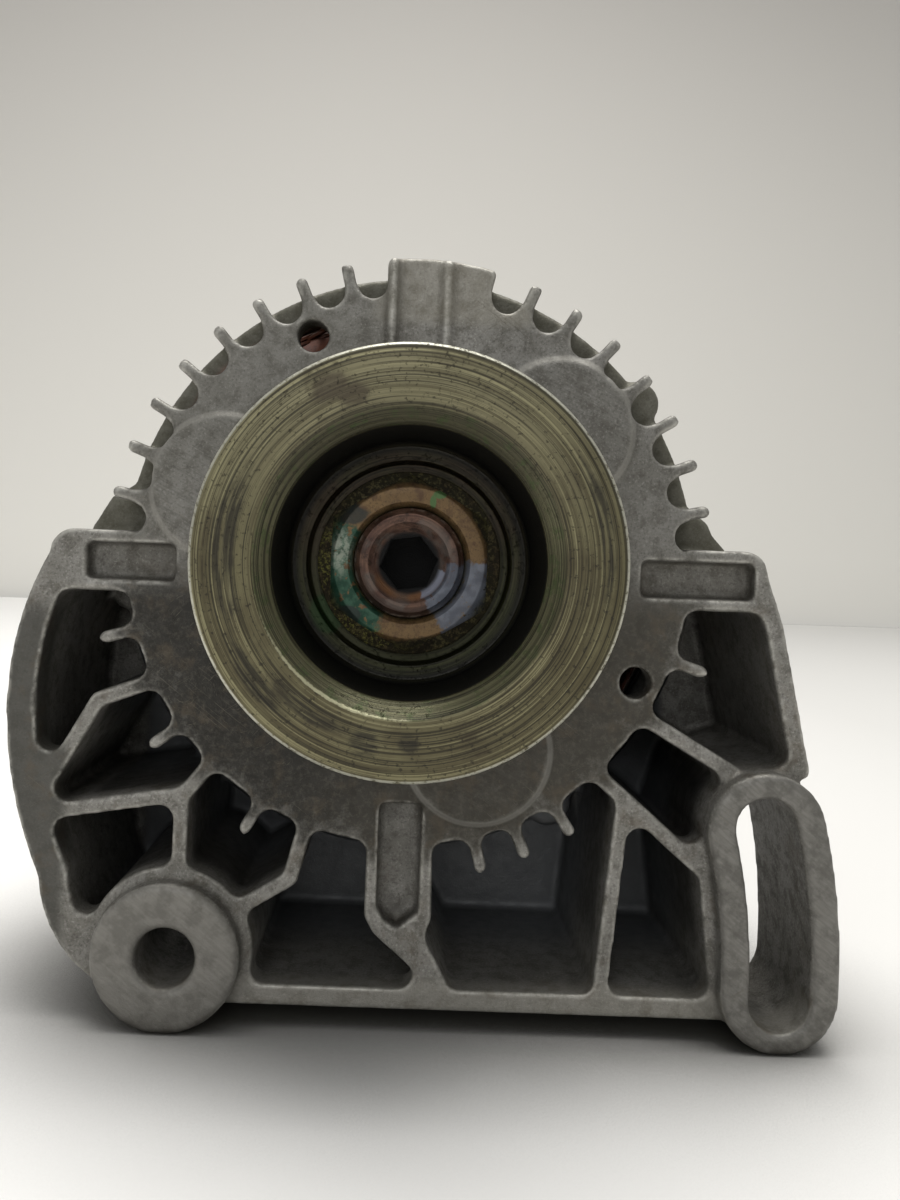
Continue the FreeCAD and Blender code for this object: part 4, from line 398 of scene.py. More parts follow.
def pulley_steel():
    """Yellow-passivated turned steel with dirty streaks; lighter at the top as painted light, with a
    painted glint and painted shading at the cup mouth, and painted shade on the cup wall and the edge of
    the cup floor.
    """
    f = Finish("pulley_steel", metallic=0.6)
    lines = f.turning(1.5, 1.1, 5)
    fine = f.turning(3.4, 0.9, 3)
    cloud = f.noise(9, 4, 0.65)
    radius = f.radius()
    base = f.mix(f.step(cloud, 0.3, 0.7), colour(80, 74, 53), colour(102, 97, 71))
    # The upper part is painted lighter, as painted light from above.
    top = f.step(f.up, -2.0, 24.0)
    base = f.over(base, top, 0.55, 124, 119, 93)
    base = f.over(base, f.step(lines, 0.46, 0.66), 0.6, 64, 58, 40)
    base = f.over(base, f.step(fine, 0.52, 0.6), 0.75, 33, 30, 21)
    base = f.over(base, f.step(fine, 0.44, 0.34), 0.6, 146, 141, 108)
    broad = f.both(f.step(f.noise(11, 5, 0.65), 0.5, 0.66), f.step(f.turning(2.0, 1.6, 3), 0.4, 0.62))
    base = f.over(base, broad, 0.65, 52, 45, 34)
    face = f.both(f.step(radius, 22.5, 23.2), f.step(f.depth, -28.5, -29.2))
    soot = f.either(f.smear(26.2, 176.0, 1.5, 24.0), f.smear(27.4, 219.0, 1.3, 13.0))
    soot = f.either(soot, f.either(f.smear(25.2, 236.0, 1.2, 15.0), f.smear(26.0, 258.0, 1.9, 4.5)))
    soot = f.either(soot, f.either(f.smear(25.4, 272.0, 1.2, 3.2), f.smear(28.2, 12.0, 1.0, 20.0)))
    soot = f.both(soot, face, f.step(f.turning(1.6, 5.0, 5), 0.34, 0.56))
    base = f.over(base, soot, 0.75, 33, 31, 28)
    rubbed = f.both(f.either(f.smear(27.0, 116.0, 1.8, 6.0), f.smear(25.0, 110.0, 1.6, 5.0)), face)
    base = f.over(base, rubbed, 0.75, 62, 54, 42)
    speck = f.step(f.noise(0.8, 4, 0.75), 0.56, 0.66)
    base = f.over(base, speck, 0.7, 34, 31, 23)
    # A pale line painted round the rim's edge, broken up by noise.
    rim = f.both(f.step(radius, 30.6, 30.9), f.step(f.depth, -28.6, -29.2))
    broken_up = f.step(f.noise(0.9, 4, 0.7), 0.66, 0.5)
    base = f.over(base, f.both(rim, broken_up), 0.85, 192, 191, 176)
    mouth = f.both(f.step(radius, 22.4, 22.0), f.step(f.depth, -26.6, -27.2))
    cone = f.mix(f.step(fine, 0.44, 0.62), colour(92, 91, 68), colour(44, 43, 31))
    base = f.mix(f.times(mouth, 0.8), base, cone)
    shaded = f.both(mouth, f.step(f.up, 4, 16))
    base = f.over(base, shaded, 0.6, 52, 49, 36)
    green = f.both(mouth, f.step(f.noise(2.2, 5, 0.7), 0.5, 0.64), f.step(fine, 0.6, 0.45))
    base = f.over(base, green, 0.6, 56, 76, 38)
    glint = f.both(f.smear(22.15, 238.0, 0.2, 30.0, 0.9, 0.7, 0.4), f.step(f.depth, -28.8, -29.4))
    base = f.over(base, glint, 0.6, 206, 203, 168)
    # The cup wall is painted near black, as painted shade.
    wall = f.both(f.step(f.depth, -27.3, -26.4), f.step(radius, 19.0, 19.5), f.step(radius, 21.0, 20.4))
    base = f.over(base, wall, 0.97, 13, 13, 11)
    floor = f.both(f.step(f.depth, -9.4, -8.4), f.step(radius, 19.9, 18.6))
    tarnish = f.mix(f.step(f.up, -6.0, 8.0), colour(50, 52, 30), colour(54, 43, 32))
    mossy = f.step(f.noise(6, 4, 0.6), 0.4, 0.65)
    tarnish = f.over(tarnish, mossy, 0.5, 50, 56, 31)
    tarnish = f.over(tarnish, f.step(fine, 0.46, 0.6), 0.7, 25, 23, 16)
    low_left = f.spot(-13.0, -8.6, 2.9, 3.4, 0.3, 2.0, 0.15)
    tarnish = f.over(tarnish, low_left, 0.85, 30, 58, 26)
    base = f.mix(f.times(floor, 0.9), base, tarnish)
    # The outer edge of the cup floor, by the wall, is painted near black as painted shade.
    base = f.mix(f.both(floor, f.step(radius, 17.4, 19.0)), base, colour(24, 23, 19))
    f.bump(fine, 0.02)
    f.bump(lines, 0.035)
    f.bump(speck, -0.03)
    rough = f.blend(f.step(cloud, 0.3, 0.7), 0.3, 0.44)
    rough = f.blend(f.either(broad, f.either(wall, soot)), rough, 0.6)
    return f.done(base, rough)


def paint_marks(f, base):
    """The assembly paint over the nut and the shaft's end: green at the left, grey-blue at the right."""
    radius, angle = f.radius(), f.angle()
    ragged = f.times(f.minus(f.noise(1.8, 4, 0.6), 0.5), 22)
    bent = f.plus(angle, ragged)
    sweep = f.both(f.step(bent, -66, -62), f.step(bent, 4, 0), f.step(radius, 5.4, 6.0))
    blue = f.mix(f.step(f.noise(2.0, 3), 0.35, 0.65), colour(76, 81, 91), colour(101, 106, 116))
    worn = f.step(f.noise(0.8, 4, 0.65), 0.3, 0.42)
    base = f.mix(f.times(f.both(sweep, worn), 0.92), base, blue)
    stroke = f.both(
        f.step(bent, -70, -66), f.step(bent, -8, -12), f.step(radius, 4.3, 4.6), f.step(radius, 5.9, 5.5)
    )
    base = f.over(base, stroke, 0.9, 146, 152, 168)
    around = f.maths("ABSOLUTE", bent)
    left = f.both(f.step(around, 146, 152), f.step(radius, 8.4, 8.8))
    low_left = f.both(f.step(bent, -112, -118), f.step(bent, -181, -178), f.step(radius, 8.4, 8.8))
    green = f.mix(f.step(f.noise(1.6, 4, 0.6), 0.4, 0.62), colour(22, 56, 41), colour(46, 78, 62))
    base = f.mix(f.both(f.either(left, low_left), f.step(f.noise(1.1, 4), 0.34, 0.42)), base, green)
    pale = f.both(f.spot(-10.2, 1.4, 1.6, 3.2, 0.6, 1.2, 0.5), f.step(f.noise(1.1, 5, 0.75), 0.36, 0.6))
    base = f.over(base, pale, 0.7, 146, 150, 136)
    dark = f.either(f.spot(-8.9, 7.2, 2.6, 1.5, 0.6, 1.6), f.spot(-9.2, -8.4, 2.0, 1.6, 0.4, 1.4))
    base = f.over(base, dark, 0.85, 38, 44, 42)
    dab = f.either(f.spot(4.4, 10.6, 1.1, 0.6, 0.3, 1.0), f.spot(3.4, 9.5, 0.5, 1.0, 0.3, 1.0))
    return f.mix(f.times(dab, 0.9), base, colour(66, 96, 56))


def nut_steel():
    """Tan, tarnished nut face with old assembly paint, and greenish speckled steel round it."""
    f = Finish("nut_steel", metallic=0.55)
    cloud = f.noise(4, 4, 0.6)
    speck = f.noise(0.5, 3, 0.7)
    base = f.mix(f.step(cloud, 0.35, 0.68), colour(96, 76, 49), colour(112, 90, 60))
    base = f.over(base, f.step(speck, 0.52, 0.66), 0.6, 56, 42, 28)
    dull = f.step(f.noise(1.6, 5, 0.75), 0.46, 0.66)
    base = f.over(base, dull, 0.7, 66, 46, 33)
    radius = f.radius()
    edge = f.plus(radius, f.times(f.minus(cloud, 0.5), 3.0))
    olive = f.mix(f.step(f.noise(0.8, 4, 0.7), 0.52, 0.64), colour(33, 29, 20), colour(80, 74, 46))
    base = f.mix(f.step(edge, 11.6, 12.4), base, olive)
    # Bright specks at the lower left, where light falls: partly speckled finish, partly painted highlight.
    specks_where_lit = f.both(f.spot(-8.5, -11.3, 4.6, 2.2, 0.6, 1.5), f.step(f.noise(0.5, 4, 0.75), 0.5, 0.62))
    base = f.over(base, specks_where_lit, 0.9, 140, 146, 62)
    base = paint_marks(f, base)
    behind = f.step(f.depth, -17.7, -16.9)
    sides = f.mix(f.step(f.noise(0.7, 4, 0.7), 0.4, 0.6), colour(34, 31, 20), colour(84, 80, 50))
    base = f.mix(f.times(behind, 0.85), base, sides)
    f.bump(f.noise(0.35, 3, 0.6), 0.04)
    f.bump(cloud, 0.05)
    return f.done(base, f.blend(f.step(cloud, 0.3, 0.7), 0.38, 0.55))


def shaft_steel():
    """Turned shaft with a reddish, rusted open end and its socket painted black as shade."""
    f = Finish("shaft_steel", metallic=0.6)
    radius = f.radius()
    cloud = f.noise(2.6, 4, 0.65)
    rust = f.mix(f.step(cloud, 0.36, 0.66), colour(76, 54, 45), colour(108, 82, 68))
    rings = f.step(f.turning(5.0, 1.0, 3), 0.45, 0.68)
    rust = f.over(rust, rings, 0.45, 60, 45, 40)
    black = f.step(f.noise(1.5, 5, 0.75), 0.48, 0.64)
    sooty = f.both(f.step(radius, 6.5, 7.1), f.step(f.up, 1.0, -5.0))
    rust = f.over(rust, f.either(black, sooty), 0.75, 44, 34, 29)
    lip = f.both(f.step(radius, 6.1, 5.4), f.step(f.up, -1.0, -3.6))
    rust = f.over(rust, lip, 0.7, 138, 98, 66)
    grey = f.both(f.step(f.noise(3.4, 3), 0.5, 0.62), f.step(radius, 7.6, 6.6))
    rust = f.over(rust, grey, 0.5, 92, 88, 83)
    pale = f.both(f.step(radius, 7.9, 8.2), f.step(f.noise(1.2, 3), 0.5, 0.6))
    rust = f.over(rust, pale, 0.5, 150, 140, 130)
    rust = paint_marks(f, rust)
    clean = f.mix(f.step(f.turning(6.0, 0.6), 0.4, 0.65), colour(150, 148, 144), colour(184, 182, 178))
    base = f.mix(f.step(f.depth, -13.0, -8.0), rust, clean)
    # The socket is painted black with no shine, as painted shade inside it.
    socket = f.both(f.step(f.depth, -18.4, -17.4), f.step(radius, 5.2, 4.7), f.step(f.depth, 0.0, -4.0))
    base = f.mix(socket, base, colour(5, 5, 5))
    f.bump(f.noise(0.4, 3, 0.65), 0.05)
    f.bump(rings, 0.03)
    rough = f.blend(socket, f.blend(f.step(cloud, 0.3, 0.7), 0.36, 0.56), 0.95)
    return f.done(base, rough, f.blend(socket, 0.6, 0.0))


def washer_steel():
    """Thick washer, yellow-green passivation broken up by dark specks."""
    f = Finish("washer_steel", metallic=0.5)
    cloud = f.noise(3.5, 4, 0.6)
    base = f.mix(f.step(cloud, 0.35, 0.66), colour(82, 70, 44), colour(98, 92, 56))
    grit = f.step(f.noise(0.6, 4, 0.7), 0.36, 0.52)
    base = f.over(base, grit, 0.8, 28, 25, 16)
    # Bright specks painted only over the lit lower left: partly speckled finish, partly painted highlight.
    lit = f.either(f.smear(13.4, 236.0, 2.2, 26.0, 0.3), f.smear(13.6, 180.0, 1.6, 22.0, 0.3))
    specks_where_lit = f.both(lit, f.step(f.noise(0.5, 4, 0.75), 0.52, 0.62))
    base = f.over(base, specks_where_lit, 0.9, 138, 136, 66)
    f.bump(f.noise(0.4, 3, 0.6), 0.05)
    return f.done(base, f.blend(grit, 0.4, 0.62))


def bearing_steel():
    """Ground bearing steel with fine lines."""
    f = Finish("bearing_steel", metallic=1.0)
    lines = f.turning(9.0, 0.5, 3)
    base = f.mix(f.step(lines, 0.4, 0.65), colour(176, 176, 178), colour(206, 206, 207))
    base = f.over(base, f.step(f.noise(3, 4), 0.55, 0.7), 0.3, 140, 134, 120)
    f.bump(lines, 0.008)
    return f.done(base, f.blend(f.step(lines, 0.3, 0.7), 0.16, 0.28))


def plated_steel():
    """Zinc-plated fixings and pressings, dulled and spotted."""
    f = Finish("plated_steel", metallic=0.9)
    cloud = f.noise(5, 4, 0.6)
    base = f.mix(f.step(cloud, 0.34, 0.66), colour(150, 147, 132), colour(184, 181, 168))
    base = f.over(base, f.step(f.noise(0.7, 4, 0.7), 0.58, 0.7), 0.5, 104, 92, 70)
    # Inner corners darkened brown: partly a grimy film, partly painted shade.
    base = f.over(base, f.recess(2.0, 0.8, 0.4), 0.5, 62, 54, 42)
    f.bump(f.noise(0.5, 3, 0.6), 0.02)
    return f.done(base, f.blend(f.step(cloud, 0.3, 0.7), 0.28, 0.46))


def core_steel():
    """Laminated core: thin sheets across the depth, rust-brown from the heat."""
    f = Finish("core_steel", metallic=0.6)
    sheets = f.noise(0.5, 1, 0.4, place=f.vector(0.0, f.depth, f.times(f.angle(), 0.004)))
    cloud = f.noise(6, 4, 0.65)
    base = f.mix(f.step(cloud, 0.35, 0.68), colour(84, 78, 72), colour(118, 104, 90))
    base = f.over(base, f.step(f.noise(3, 4, 0.7), 0.55, 0.7), 0.55, 110, 72, 48)
    base = f.over(base, f.step(sheets, 0.5, 0.62), 0.45, 44, 40, 37)
    f.bump(sheets, 0.06)
    return f.done(base, f.blend(f.step(cloud, 0.3, 0.7), 0.42, 0.62))


def forged_steel():
    """Forged claw poles, turned outside, dark and slightly rusted."""
    f = Finish("forged_steel", metallic=0.7)
    cloud = f.noise(5, 4, 0.6)
    base = f.mix(f.step(cloud, 0.35, 0.68), colour(88, 85, 82), colour(122, 117, 112))
    base = f.over(base, f.step(f.noise(1.4, 4, 0.7), 0.56, 0.7), 0.6, 104, 68, 46)
    f.bump(f.noise(0.8, 3, 0.6), 0.04)
    return f.done(base, f.blend(f.step(cloud, 0.3, 0.7), 0.38, 0.58))


def copper_wire():
    """Enamelled copper wire under amber varnish."""
    f = Finish("copper_wire", metallic=0.55, Coat_Weight=0.35, Coat_Roughness=0.22)
    cloud = f.noise(3, 4, 0.6)
    base = f.mix(f.step(cloud, 0.34, 0.68), colour(70, 38, 26), colour(108, 62, 42))
    base = f.over(base, f.step(f.noise(0.8, 3, 0.6), 0.5, 0.7), 0.5, 70, 30, 20)
    # The winding is darkened in its recesses, as painted shade.
    base = f.over(base, f.recess(3.0, 0.75, 0.3), 0.7, 34, 18, 12)
    f.bump(f.noise(0.6, 2), 0.03)
    return f.done(base, f.blend(f.step(cloud, 0.3, 0.7), 0.26, 0.42))


def slip_ring_copper():
    """Copper slip ring, polished where the brush runs."""
    f = Finish("slip_ring_copper", metallic=1.0)
    lines = f.turning(12.0, 0.3, 3)
    base = f.mix(f.step(lines, 0.4, 0.66), colour(176, 104, 66), colour(206, 138, 96))
    base = f.over(base, f.step(f.noise(2, 3), 0.52, 0.7), 0.4, 96, 56, 40)
    f.bump(lines, 0.012)
    return f.done(base, f.blend(f.step(lines, 0.3, 0.7), 0.18, 0.34))


def carbon():
    """Pressed carbon brush with fine copper flecks."""
    f = Finish("carbon", metallic=0.2)
    fleck = f.step(f.noise(0.25, 2, 0.6), 0.66, 0.74)
    base = f.mix(f.step(f.noise(1.5, 4), 0.3, 0.7), colour(34, 33, 34), colour(50, 48, 48))
    base = f.over(base, fleck, 0.7, 150, 96, 66)
    f.bump(f.noise(0.3, 3, 0.6), 0.03)
    return f.done(base, f.blend(fleck, 0.5, 0.34))


def moulded_plastic(name, dark, light, dust=0.35):
    """Glass-filled moulded plastic: fine grain, faint flow marks, dust in its corners."""
    f = Finish(name)
    grain = f.noise(0.35, 3, 0.6)
    cloud = f.noise(12, 4, 0.6, twist=0.6)
    base = f.mix(f.step(cloud, 0.3, 0.7), colour(*dark), colour(*light))
    base = f.mix(f.times(f.step(grain, 0.6, 0.72), 0.25), base, colour(*(c + 46 for c in light)))
    settled = f.both(f.recess(3.0, 0.85, 0.5), f.step(f.noise(5, 4), 0.35, 0.65))
    base = f.mix(f.times(settled, dust), base, colour(112, 104, 92))
    rubbed = f.step(f.stretched(16, 0.2, 52), 0.67, 0.72)
    base = f.mix(f.times(rubbed, 0.22), base, colour(*(c + 70 for c in light)))
    f.bump(grain, 0.035)
    f.bump(cloud, 0.04)
    return f.done(base, f.blend(f.step(cloud, 0.3, 0.7), 0.42, 0.58))


def seal_rubber():
    """Bearing seal, ringed and slightly greasy."""
    f = Finish("seal_rubber")
    lines = f.turning(2.2, 0.2, 2)
    base = f.mix(f.step(f.noise(3, 4), 0.35, 0.68), colour(26, 25, 24), colour(44, 41, 37))
    f.bump(lines, 0.06)
    return f.done(base, f.blend(f.step(lines, 0.35, 0.65), 0.36, 0.6))


def sheet_aluminium():
    """Rolled and punched aluminium heat sink, brushed and dusty."""
    f = Finish("sheet_aluminium", metallic=0.9)
    brushed = f.stretched(30, 0.25, 12, detail=3)
    base = f.mix(f.step(brushed, 0.36, 0.66), colour(168, 168, 168), colour(198, 198, 197))
    base = f.over(base, f.step(f.noise(5, 4), 0.5, 0.7), 0.4, 134, 126, 112)
    f.bump(brushed, 0.015)
    return f.done(base, f.blend(f.step(brushed, 0.3, 0.7), 0.3, 0.46))


finishes = {
    "cast_aluminium": cast_aluminium(),
    "sheet_aluminium": sheet_aluminium(),
    "pulley_steel": pulley_steel(),
    "nut_steel": nut_steel(),
    "washer_steel": washer_steel(),
    "shaft_steel": shaft_steel(),
    "bearing_steel": bearing_steel(),
    "seal_rubber": seal_rubber(),
    "plated_steel": plated_steel(),
    "core_steel": core_steel(),
    "forged_steel": forged_steel(),
    "copper_wire": copper_wire(),
    "slip_ring_copper": slip_ring_copper(),
    "carbon": carbon(),
    "black_plastic": moulded_plastic("black_plastic", (26, 26, 27), (38, 38, 39)),
    "pale_plastic": moulded_plastic("pale_plastic", (150, 138, 104), (182, 170, 132), 0.5),
}
own_finish = {
    "pulley_washer": "washer_steel",
    "front_claw_pole": "forged_steel",
    "rear_claw_pole": "forged_steel",
}


# Meshes

# Smoothing shares, and how near in millimetres a vertex has to be to fall back on the solid's faces
SHRINK, SWELL = 0.5, -0.52
SNAP_REACH, SNAP_FADE = 0.42, 0.26


def row(x, depth, up):
    """A point given about the rotor axis in millimetres, in the row frame."""
    return Vector(((AXIS_X + x) * MM, depth * MM, (AXIS_UP + up) * MM))


def shade_by_angle(mesh, degrees):
    """Smooth shading that leaves corners over this angle sharp."""
    for face in mesh.polygons:
        face.use_smooth = True
    work = bmesh.new()
    work.from_mesh(mesh)
    limit = math.radians(degrees)
    for edge in work.edges:
        edge.smooth = len(edge.link_faces) == 2 and edge.calc_face_angle(0.0) < limit
    work.to_mesh(mesh)
    work.free()


def new_piece(name, mesh, body, nodes, slot, finish=None):
    made = bpy.data.objects.new(name, mesh)
    bpy.context.scene.collection.objects.link(made)
    mesh.materials.clear()
    mesh.materials.append(finishes[finish or slot])
    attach(made, body)
    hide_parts(*nodes)


def welded_copy(node):
    """The mesh of a CAD node with its split corners joined."""
    work = bmesh.new()
    work.from_mesh(frame["nodes"][node].data)
    bmesh.ops.remove_doubles(work, verts=work.verts, dist=1e-7)
    mesh = bpy.data.meshes.new(node + "_mesh")
    work.to_mesh(mesh)
    work.free()
    return mesh


def with_modifiers(mesh, steps):
    """The mesh after these modifiers, as a new mesh."""
    carrier = bpy.data.objects.new("carrier", mesh)
    bpy.context.scene.collection.objects.link(carrier)
    for number, (kind, settings) in enumerate(steps):
        modifier = carrier.modifiers.new(f"step{number}", kind)
        for key, value in settings.items():
            setattr(modifier, key, value)
    bpy.context.view_layer.update()
    graph = bpy.context.evaluated_depsgraph_get()
    made = bpy.data.meshes.new_from_object(carrier.evaluated_get(graph))
    bpy.data.objects.remove(carrier)
    return made


def roughened(mesh, amount, size):
    """Lowers the skin unevenly by up to this many millimetres, as sand or a worn die leaves it."""
    count = len(mesh.vertices)
    place = np.zeros(count * 3, np.float64)
    normal = np.zeros(count * 3, np.float64)
    mesh.vertices.foreach_get("co", place)
    mesh.vertices.foreach_get("normal", normal)
    place = place.reshape(-1, 3)
    normal = normal.reshape(-1, 3)
    scale = 1 / (size * MM)
    share = np.array([noise.noise(Vector(p * scale)) for p in place])
    place -= normal * (amount * MM * (0.5 + 0.5 * share))[:, None]
    mesh.vertices.foreach_set("co", place.ravel())
    mesh.update()


def smooth(place, ends, shares):
    """Moves the vertices towards the mean of their neighbours, or away from it, one share at a time."""
    first, second = ends[0::2], ends[1::2]
    count = len(place)
    degree = np.bincount(ends, minlength=count)
    for share in shares:
        means = np.empty_like(place)
        for axis in range(3):
            total = np.bincount(first, place[second, axis], count)
            total += np.bincount(second, place[first, axis], count)
            means[:, axis] = total / degree
        place += (means - place) * share


def relaxed(mesh, solid, plain, pairs):
    """Rounds the corners of a dense mesh, then lays its faces back on those of the solid."""
    place = np.zeros(len(mesh.vertices) * 3, np.float64)
    mesh.vertices.foreach_get("co", place)
    place = place.reshape(-1, 3)
    ends = np.zeros(len(mesh.edges) * 2, np.int32)
    mesh.edges.foreach_get("vertices", ends)
    smooth(place, ends, [SHRINK] * plain + [SHRINK, SWELL] * pairs)
    work = bmesh.new()
    work.from_mesh(solid)
    surface = BVHTree.FromBMesh(work)
    nearest = np.array([surface.find_nearest(Vector(p))[0] for p in place])
    away = np.linalg.norm(nearest - place, axis=1) / MM
    keep = np.clip((SNAP_REACH - away) / SNAP_FADE, 0.0, 1.0)[:, None]
    place += (nearest - place) * keep
    smooth(place, ends, [SHRINK] + [SHRINK, SWELL] * 6)
    corners = np.array([v.co for v in work.verts])
    work.free()
    place = np.clip(place, corners.min(axis=0), corners.max(axis=0))
    mesh.vertices.foreach_set("co", place.ravel())
    mesh.update()


def casting(node, name, voxel, smoothing):
    """A cast piece: corners rounded and filleted, skin slightly uneven."""
    steps = [("REMESH", {"mode": "VOXEL", "voxel_size": voxel * MM, "use_smooth_shade": True})]
    solid = welded_copy(node)
    mesh = with_modifiers(solid, steps)
    relaxed(mesh, solid, smoothing, 14)
    roughened(mesh, 0.08, 2.4)
    for face in mesh.polygons:
        face.use_smooth = True
    new_piece(name, mesh, "housing", [node], "cast_aluminium")


def ring_of(segments, depth, radius):
    """Points round the rotor axis; the radius is a number or changes with the turn."""
    ring = []
    for number in range(segments):
        turn = 2 * math.pi * number / segments
        r = radius(turn) if callable(radius) else radius
        ring.append(row(r * math.cos(turn), depth, r * math.sin(turn)))
    return ring


def skin(work, rings, closed):
    """Faces over rings of points; a closed skin joins the last ring to the first."""
    layers = [[work.verts.new(p) for p in ring] for ring in rings]
    pairs = list(zip(layers, layers[1:]))
    if closed:
        pairs.append((layers[-1], layers[0]))
    else:
        work.faces.new(layers[0])
        work.faces.new(layers[-1])
    for first, second in pairs:
        for i in range(len(first)):
            j = (i + 1) % len(first)
            work.faces.new((first[i], first[j], second[j], second[i]))


def mesh_of(work, name, degrees):
    """The finished mesh, faces outwards and smooth up to this angle."""
    bmesh.ops.recalc_face_normals(work, faces=work.faces)
    mesh = bpy.data.meshes.new(name)
    work.to_mesh(mesh)
    work.free()
    shade_by_angle(mesh, degrees)
    return mesh


def swept(name, rings, closed, degrees):
    """The mesh of one skin over rings of points."""
    work = bmesh.new()
    skin(work, rings, closed)
    return mesh_of(work, name, degrees)


def softened(profile, radius, steps=3):
    """The corners of a closed profile of (radius, depth) rounded by up to this many millimetres."""
    made = []
    count = len(profile)
    for number, corner in enumerate(profile):
        here = Vector(corner[:2])
        before = Vector(profile[number - 1][:2]) - here
        after = Vector(profile[(number + 1) % count][:2]) - here
        wanted = corner[2] if len(corner) > 2 else radius
        reach = min(wanted, before.length * 0.45, after.length * 0.45)
        start = here + before.normalized() * reach
        end = here + after.normalized() * reach
        for step in range(steps + 1):
            t = step / steps
            made.append(start * (1 - t) ** 2 + here * 2 * t * (1 - t) + end * t * t)
    return [(p.x, p.y) for p in made]


def lathe(name, profile, segments, radius):
    """A turned skin from a closed profile of (radius, depth) in millimetres."""
    rings = [ring_of(segments, depth, r) for r, depth in softened(profile, radius)]
    return swept(name, rings, True, 40)


def hexagon_radius(flats, turn, first_corner):
    """Distance from the middle of a hexagon to its side in one direction."""
    within = (math.degrees(turn) - first_corner) % 60 - 30
    return flats / 2 / math.cos(math.radians(within))


def pulley_piece():
    front, back, floor = FACE_DEPTH, -1.7, -7.2
    profile = [
        (8.52, floor, 0.05), (16.2, floor), (16.7, floor - 1.0), (19.0, floor - 1.0),
        (CUP_RADIUS, floor - 1.8), (CUP_RADIUS, front + 2.6, 0.3), (22.3, front, 0.25), (30.75, front, 0.2),
        (RIM_RADIUS, front + 0.5, 0.2), (RIM_RADIUS, front + 5.1, 0.3),
    ]
    pitch, root, crest = 3.56, 28.6, 0.35
    for number in range(5):
        start = front + 5.1 + number * pitch
        profile += [
            (RIM_RADIUS, start + crest), (root, start + pitch / 2 - crest),
            (root, start + pitch / 2 + crest), (RIM_RADIUS, start + pitch - crest),
        ]
    profile += [(RIM_RADIUS, back - 0.5, 0.2), (30.7, back), (8.52, back, 0.05)]
    mesh = lathe("pulley_turned", profile, 256, 0.25)
    new_piece("pulley_turned", mesh, "rotor", ["pulley"], "pulley_steel")


def nut_piece():
    """Hexagon nut with chamfered corners and a countersunk thread mouth."""
    front, back, flats = -18.0, -9.2, 24.0
    rings = []

    def add(depth, radius):
        rings.append(ring_of(180, depth, radius))

    def side(turn):
        return hexagon_radius(flats - 0.1, turn, 30.0) - 0.16 * max(
            0.0, math.cos(math.radians((math.degrees(turn) - 30.0) * 6)) - 0.93) / 0.07

    face = flats / 2 - 0.4
    add(back, 8.54)
    add(front + 0.9, 8.54)
    add(front + 0.1, 9.25)
    add(front, 9.4)
    add(front, 10.6)
    add(front, face - 0.15)
    add(front + 0.05, face)
    for step in range(1, 12):
        reach = face + step * 0.21
        add(front + 0.05 + (reach - face) * 0.66, lambda turn, reach=reach: min(reach, side(turn)))
    for step in range(9):
        reach = 13.9 - step * 0.21
        add(back - 0.05 - (reach - face) * 0.4, lambda turn, reach=reach: min(reach + 0.4, side(turn)))
    add(back, face)
    mesh = swept("pulley_nut_piece", rings, True, 24)
    new_piece("pulley_nut_piece", mesh, "rotor", ["pulley_nut"], "nut_steel")


def shaft_piece():
    """The whole shaft, with the countersunk hexagon socket in its front end."""
    front = -19.2
    rings = []

    def add(depth, radius):
        rings.append(ring_of(180, depth, radius))

    def socket(turn):
        return hexagon_radius(8.0, turn, SHAFT_SOCKET_TURN)

    thread_front, thread_back, pitch = front + 1.1, -7.2, 1.5
    add(front + 9.0, lambda turn: socket(turn) * 0.02)
    add(front + 9.0, socket)
    add(front + 4.0, socket)
    for step in range(14, -1, -1):
        sunk = step * 0.16
        cone = 6.2 - sunk * 1.05
        add(front + sunk + 0.02, lambda turn, cone=cone: max(cone, socket(turn)))
    add(front, 6.35)
    add(front, 7.2)
    add(front + 0.05, 7.5)
    add(front + 0.9, 8.3)
    depth = thread_front
    while depth < thread_back - pitch:
        add(depth, THREAD_RADIUS)
        add(depth + pitch * 0.45, THREAD_RADIUS)
        add(depth + pitch * 0.7, 7.75)
        depth += pitch
    steps = [
        (thread_back, THREAD_RADIUS), (thread_back, 8.5), (17.5, 8.5), (17.5, 10.4), (17.6, 10.5),
        (22.4, 10.5), (22.5, 8.5), (65.5, 8.5), (65.5, 9.4), (65.6, 9.5), (76.4, 9.5), (76.5, 7.5),
        (87.3, 7.5), (87.5, 7.3), (87.5, 5.0), (106.2, 5.0), (106.5, 4.7), (106.5, 0.05),
    ]
    for depth, radius in steps:
        add(depth, radius)
    mesh = swept("shaft_piece", rings, False, 28)
    new_piece("shaft_piece", mesh, "rotor", ["rotor_shaft"], "shaft_steel")


def wire_rings(path, radius, sides=6):
    """Rings of points round a path, for one wire."""
    rings = []
    for number, here in enumerate(path):
        ahead = path[min(number + 1, len(path) - 1)] - path[max(number - 1, 0)]
        ahead.normalize()
        outward = Vector((here.x - AXIS.x, 0, here.z - AXIS.z)).normalized()
        side = ahead.cross(outward).normalized()
        outward = side.cross(ahead).normalized()
        ring = []
        for step in range(sides):
            turn = 2 * math.pi * step / sides
            ring.append(here + (outward * math.cos(turn) + side * math.sin(turn)) * radius)
        rings.append(ring)
    return rings


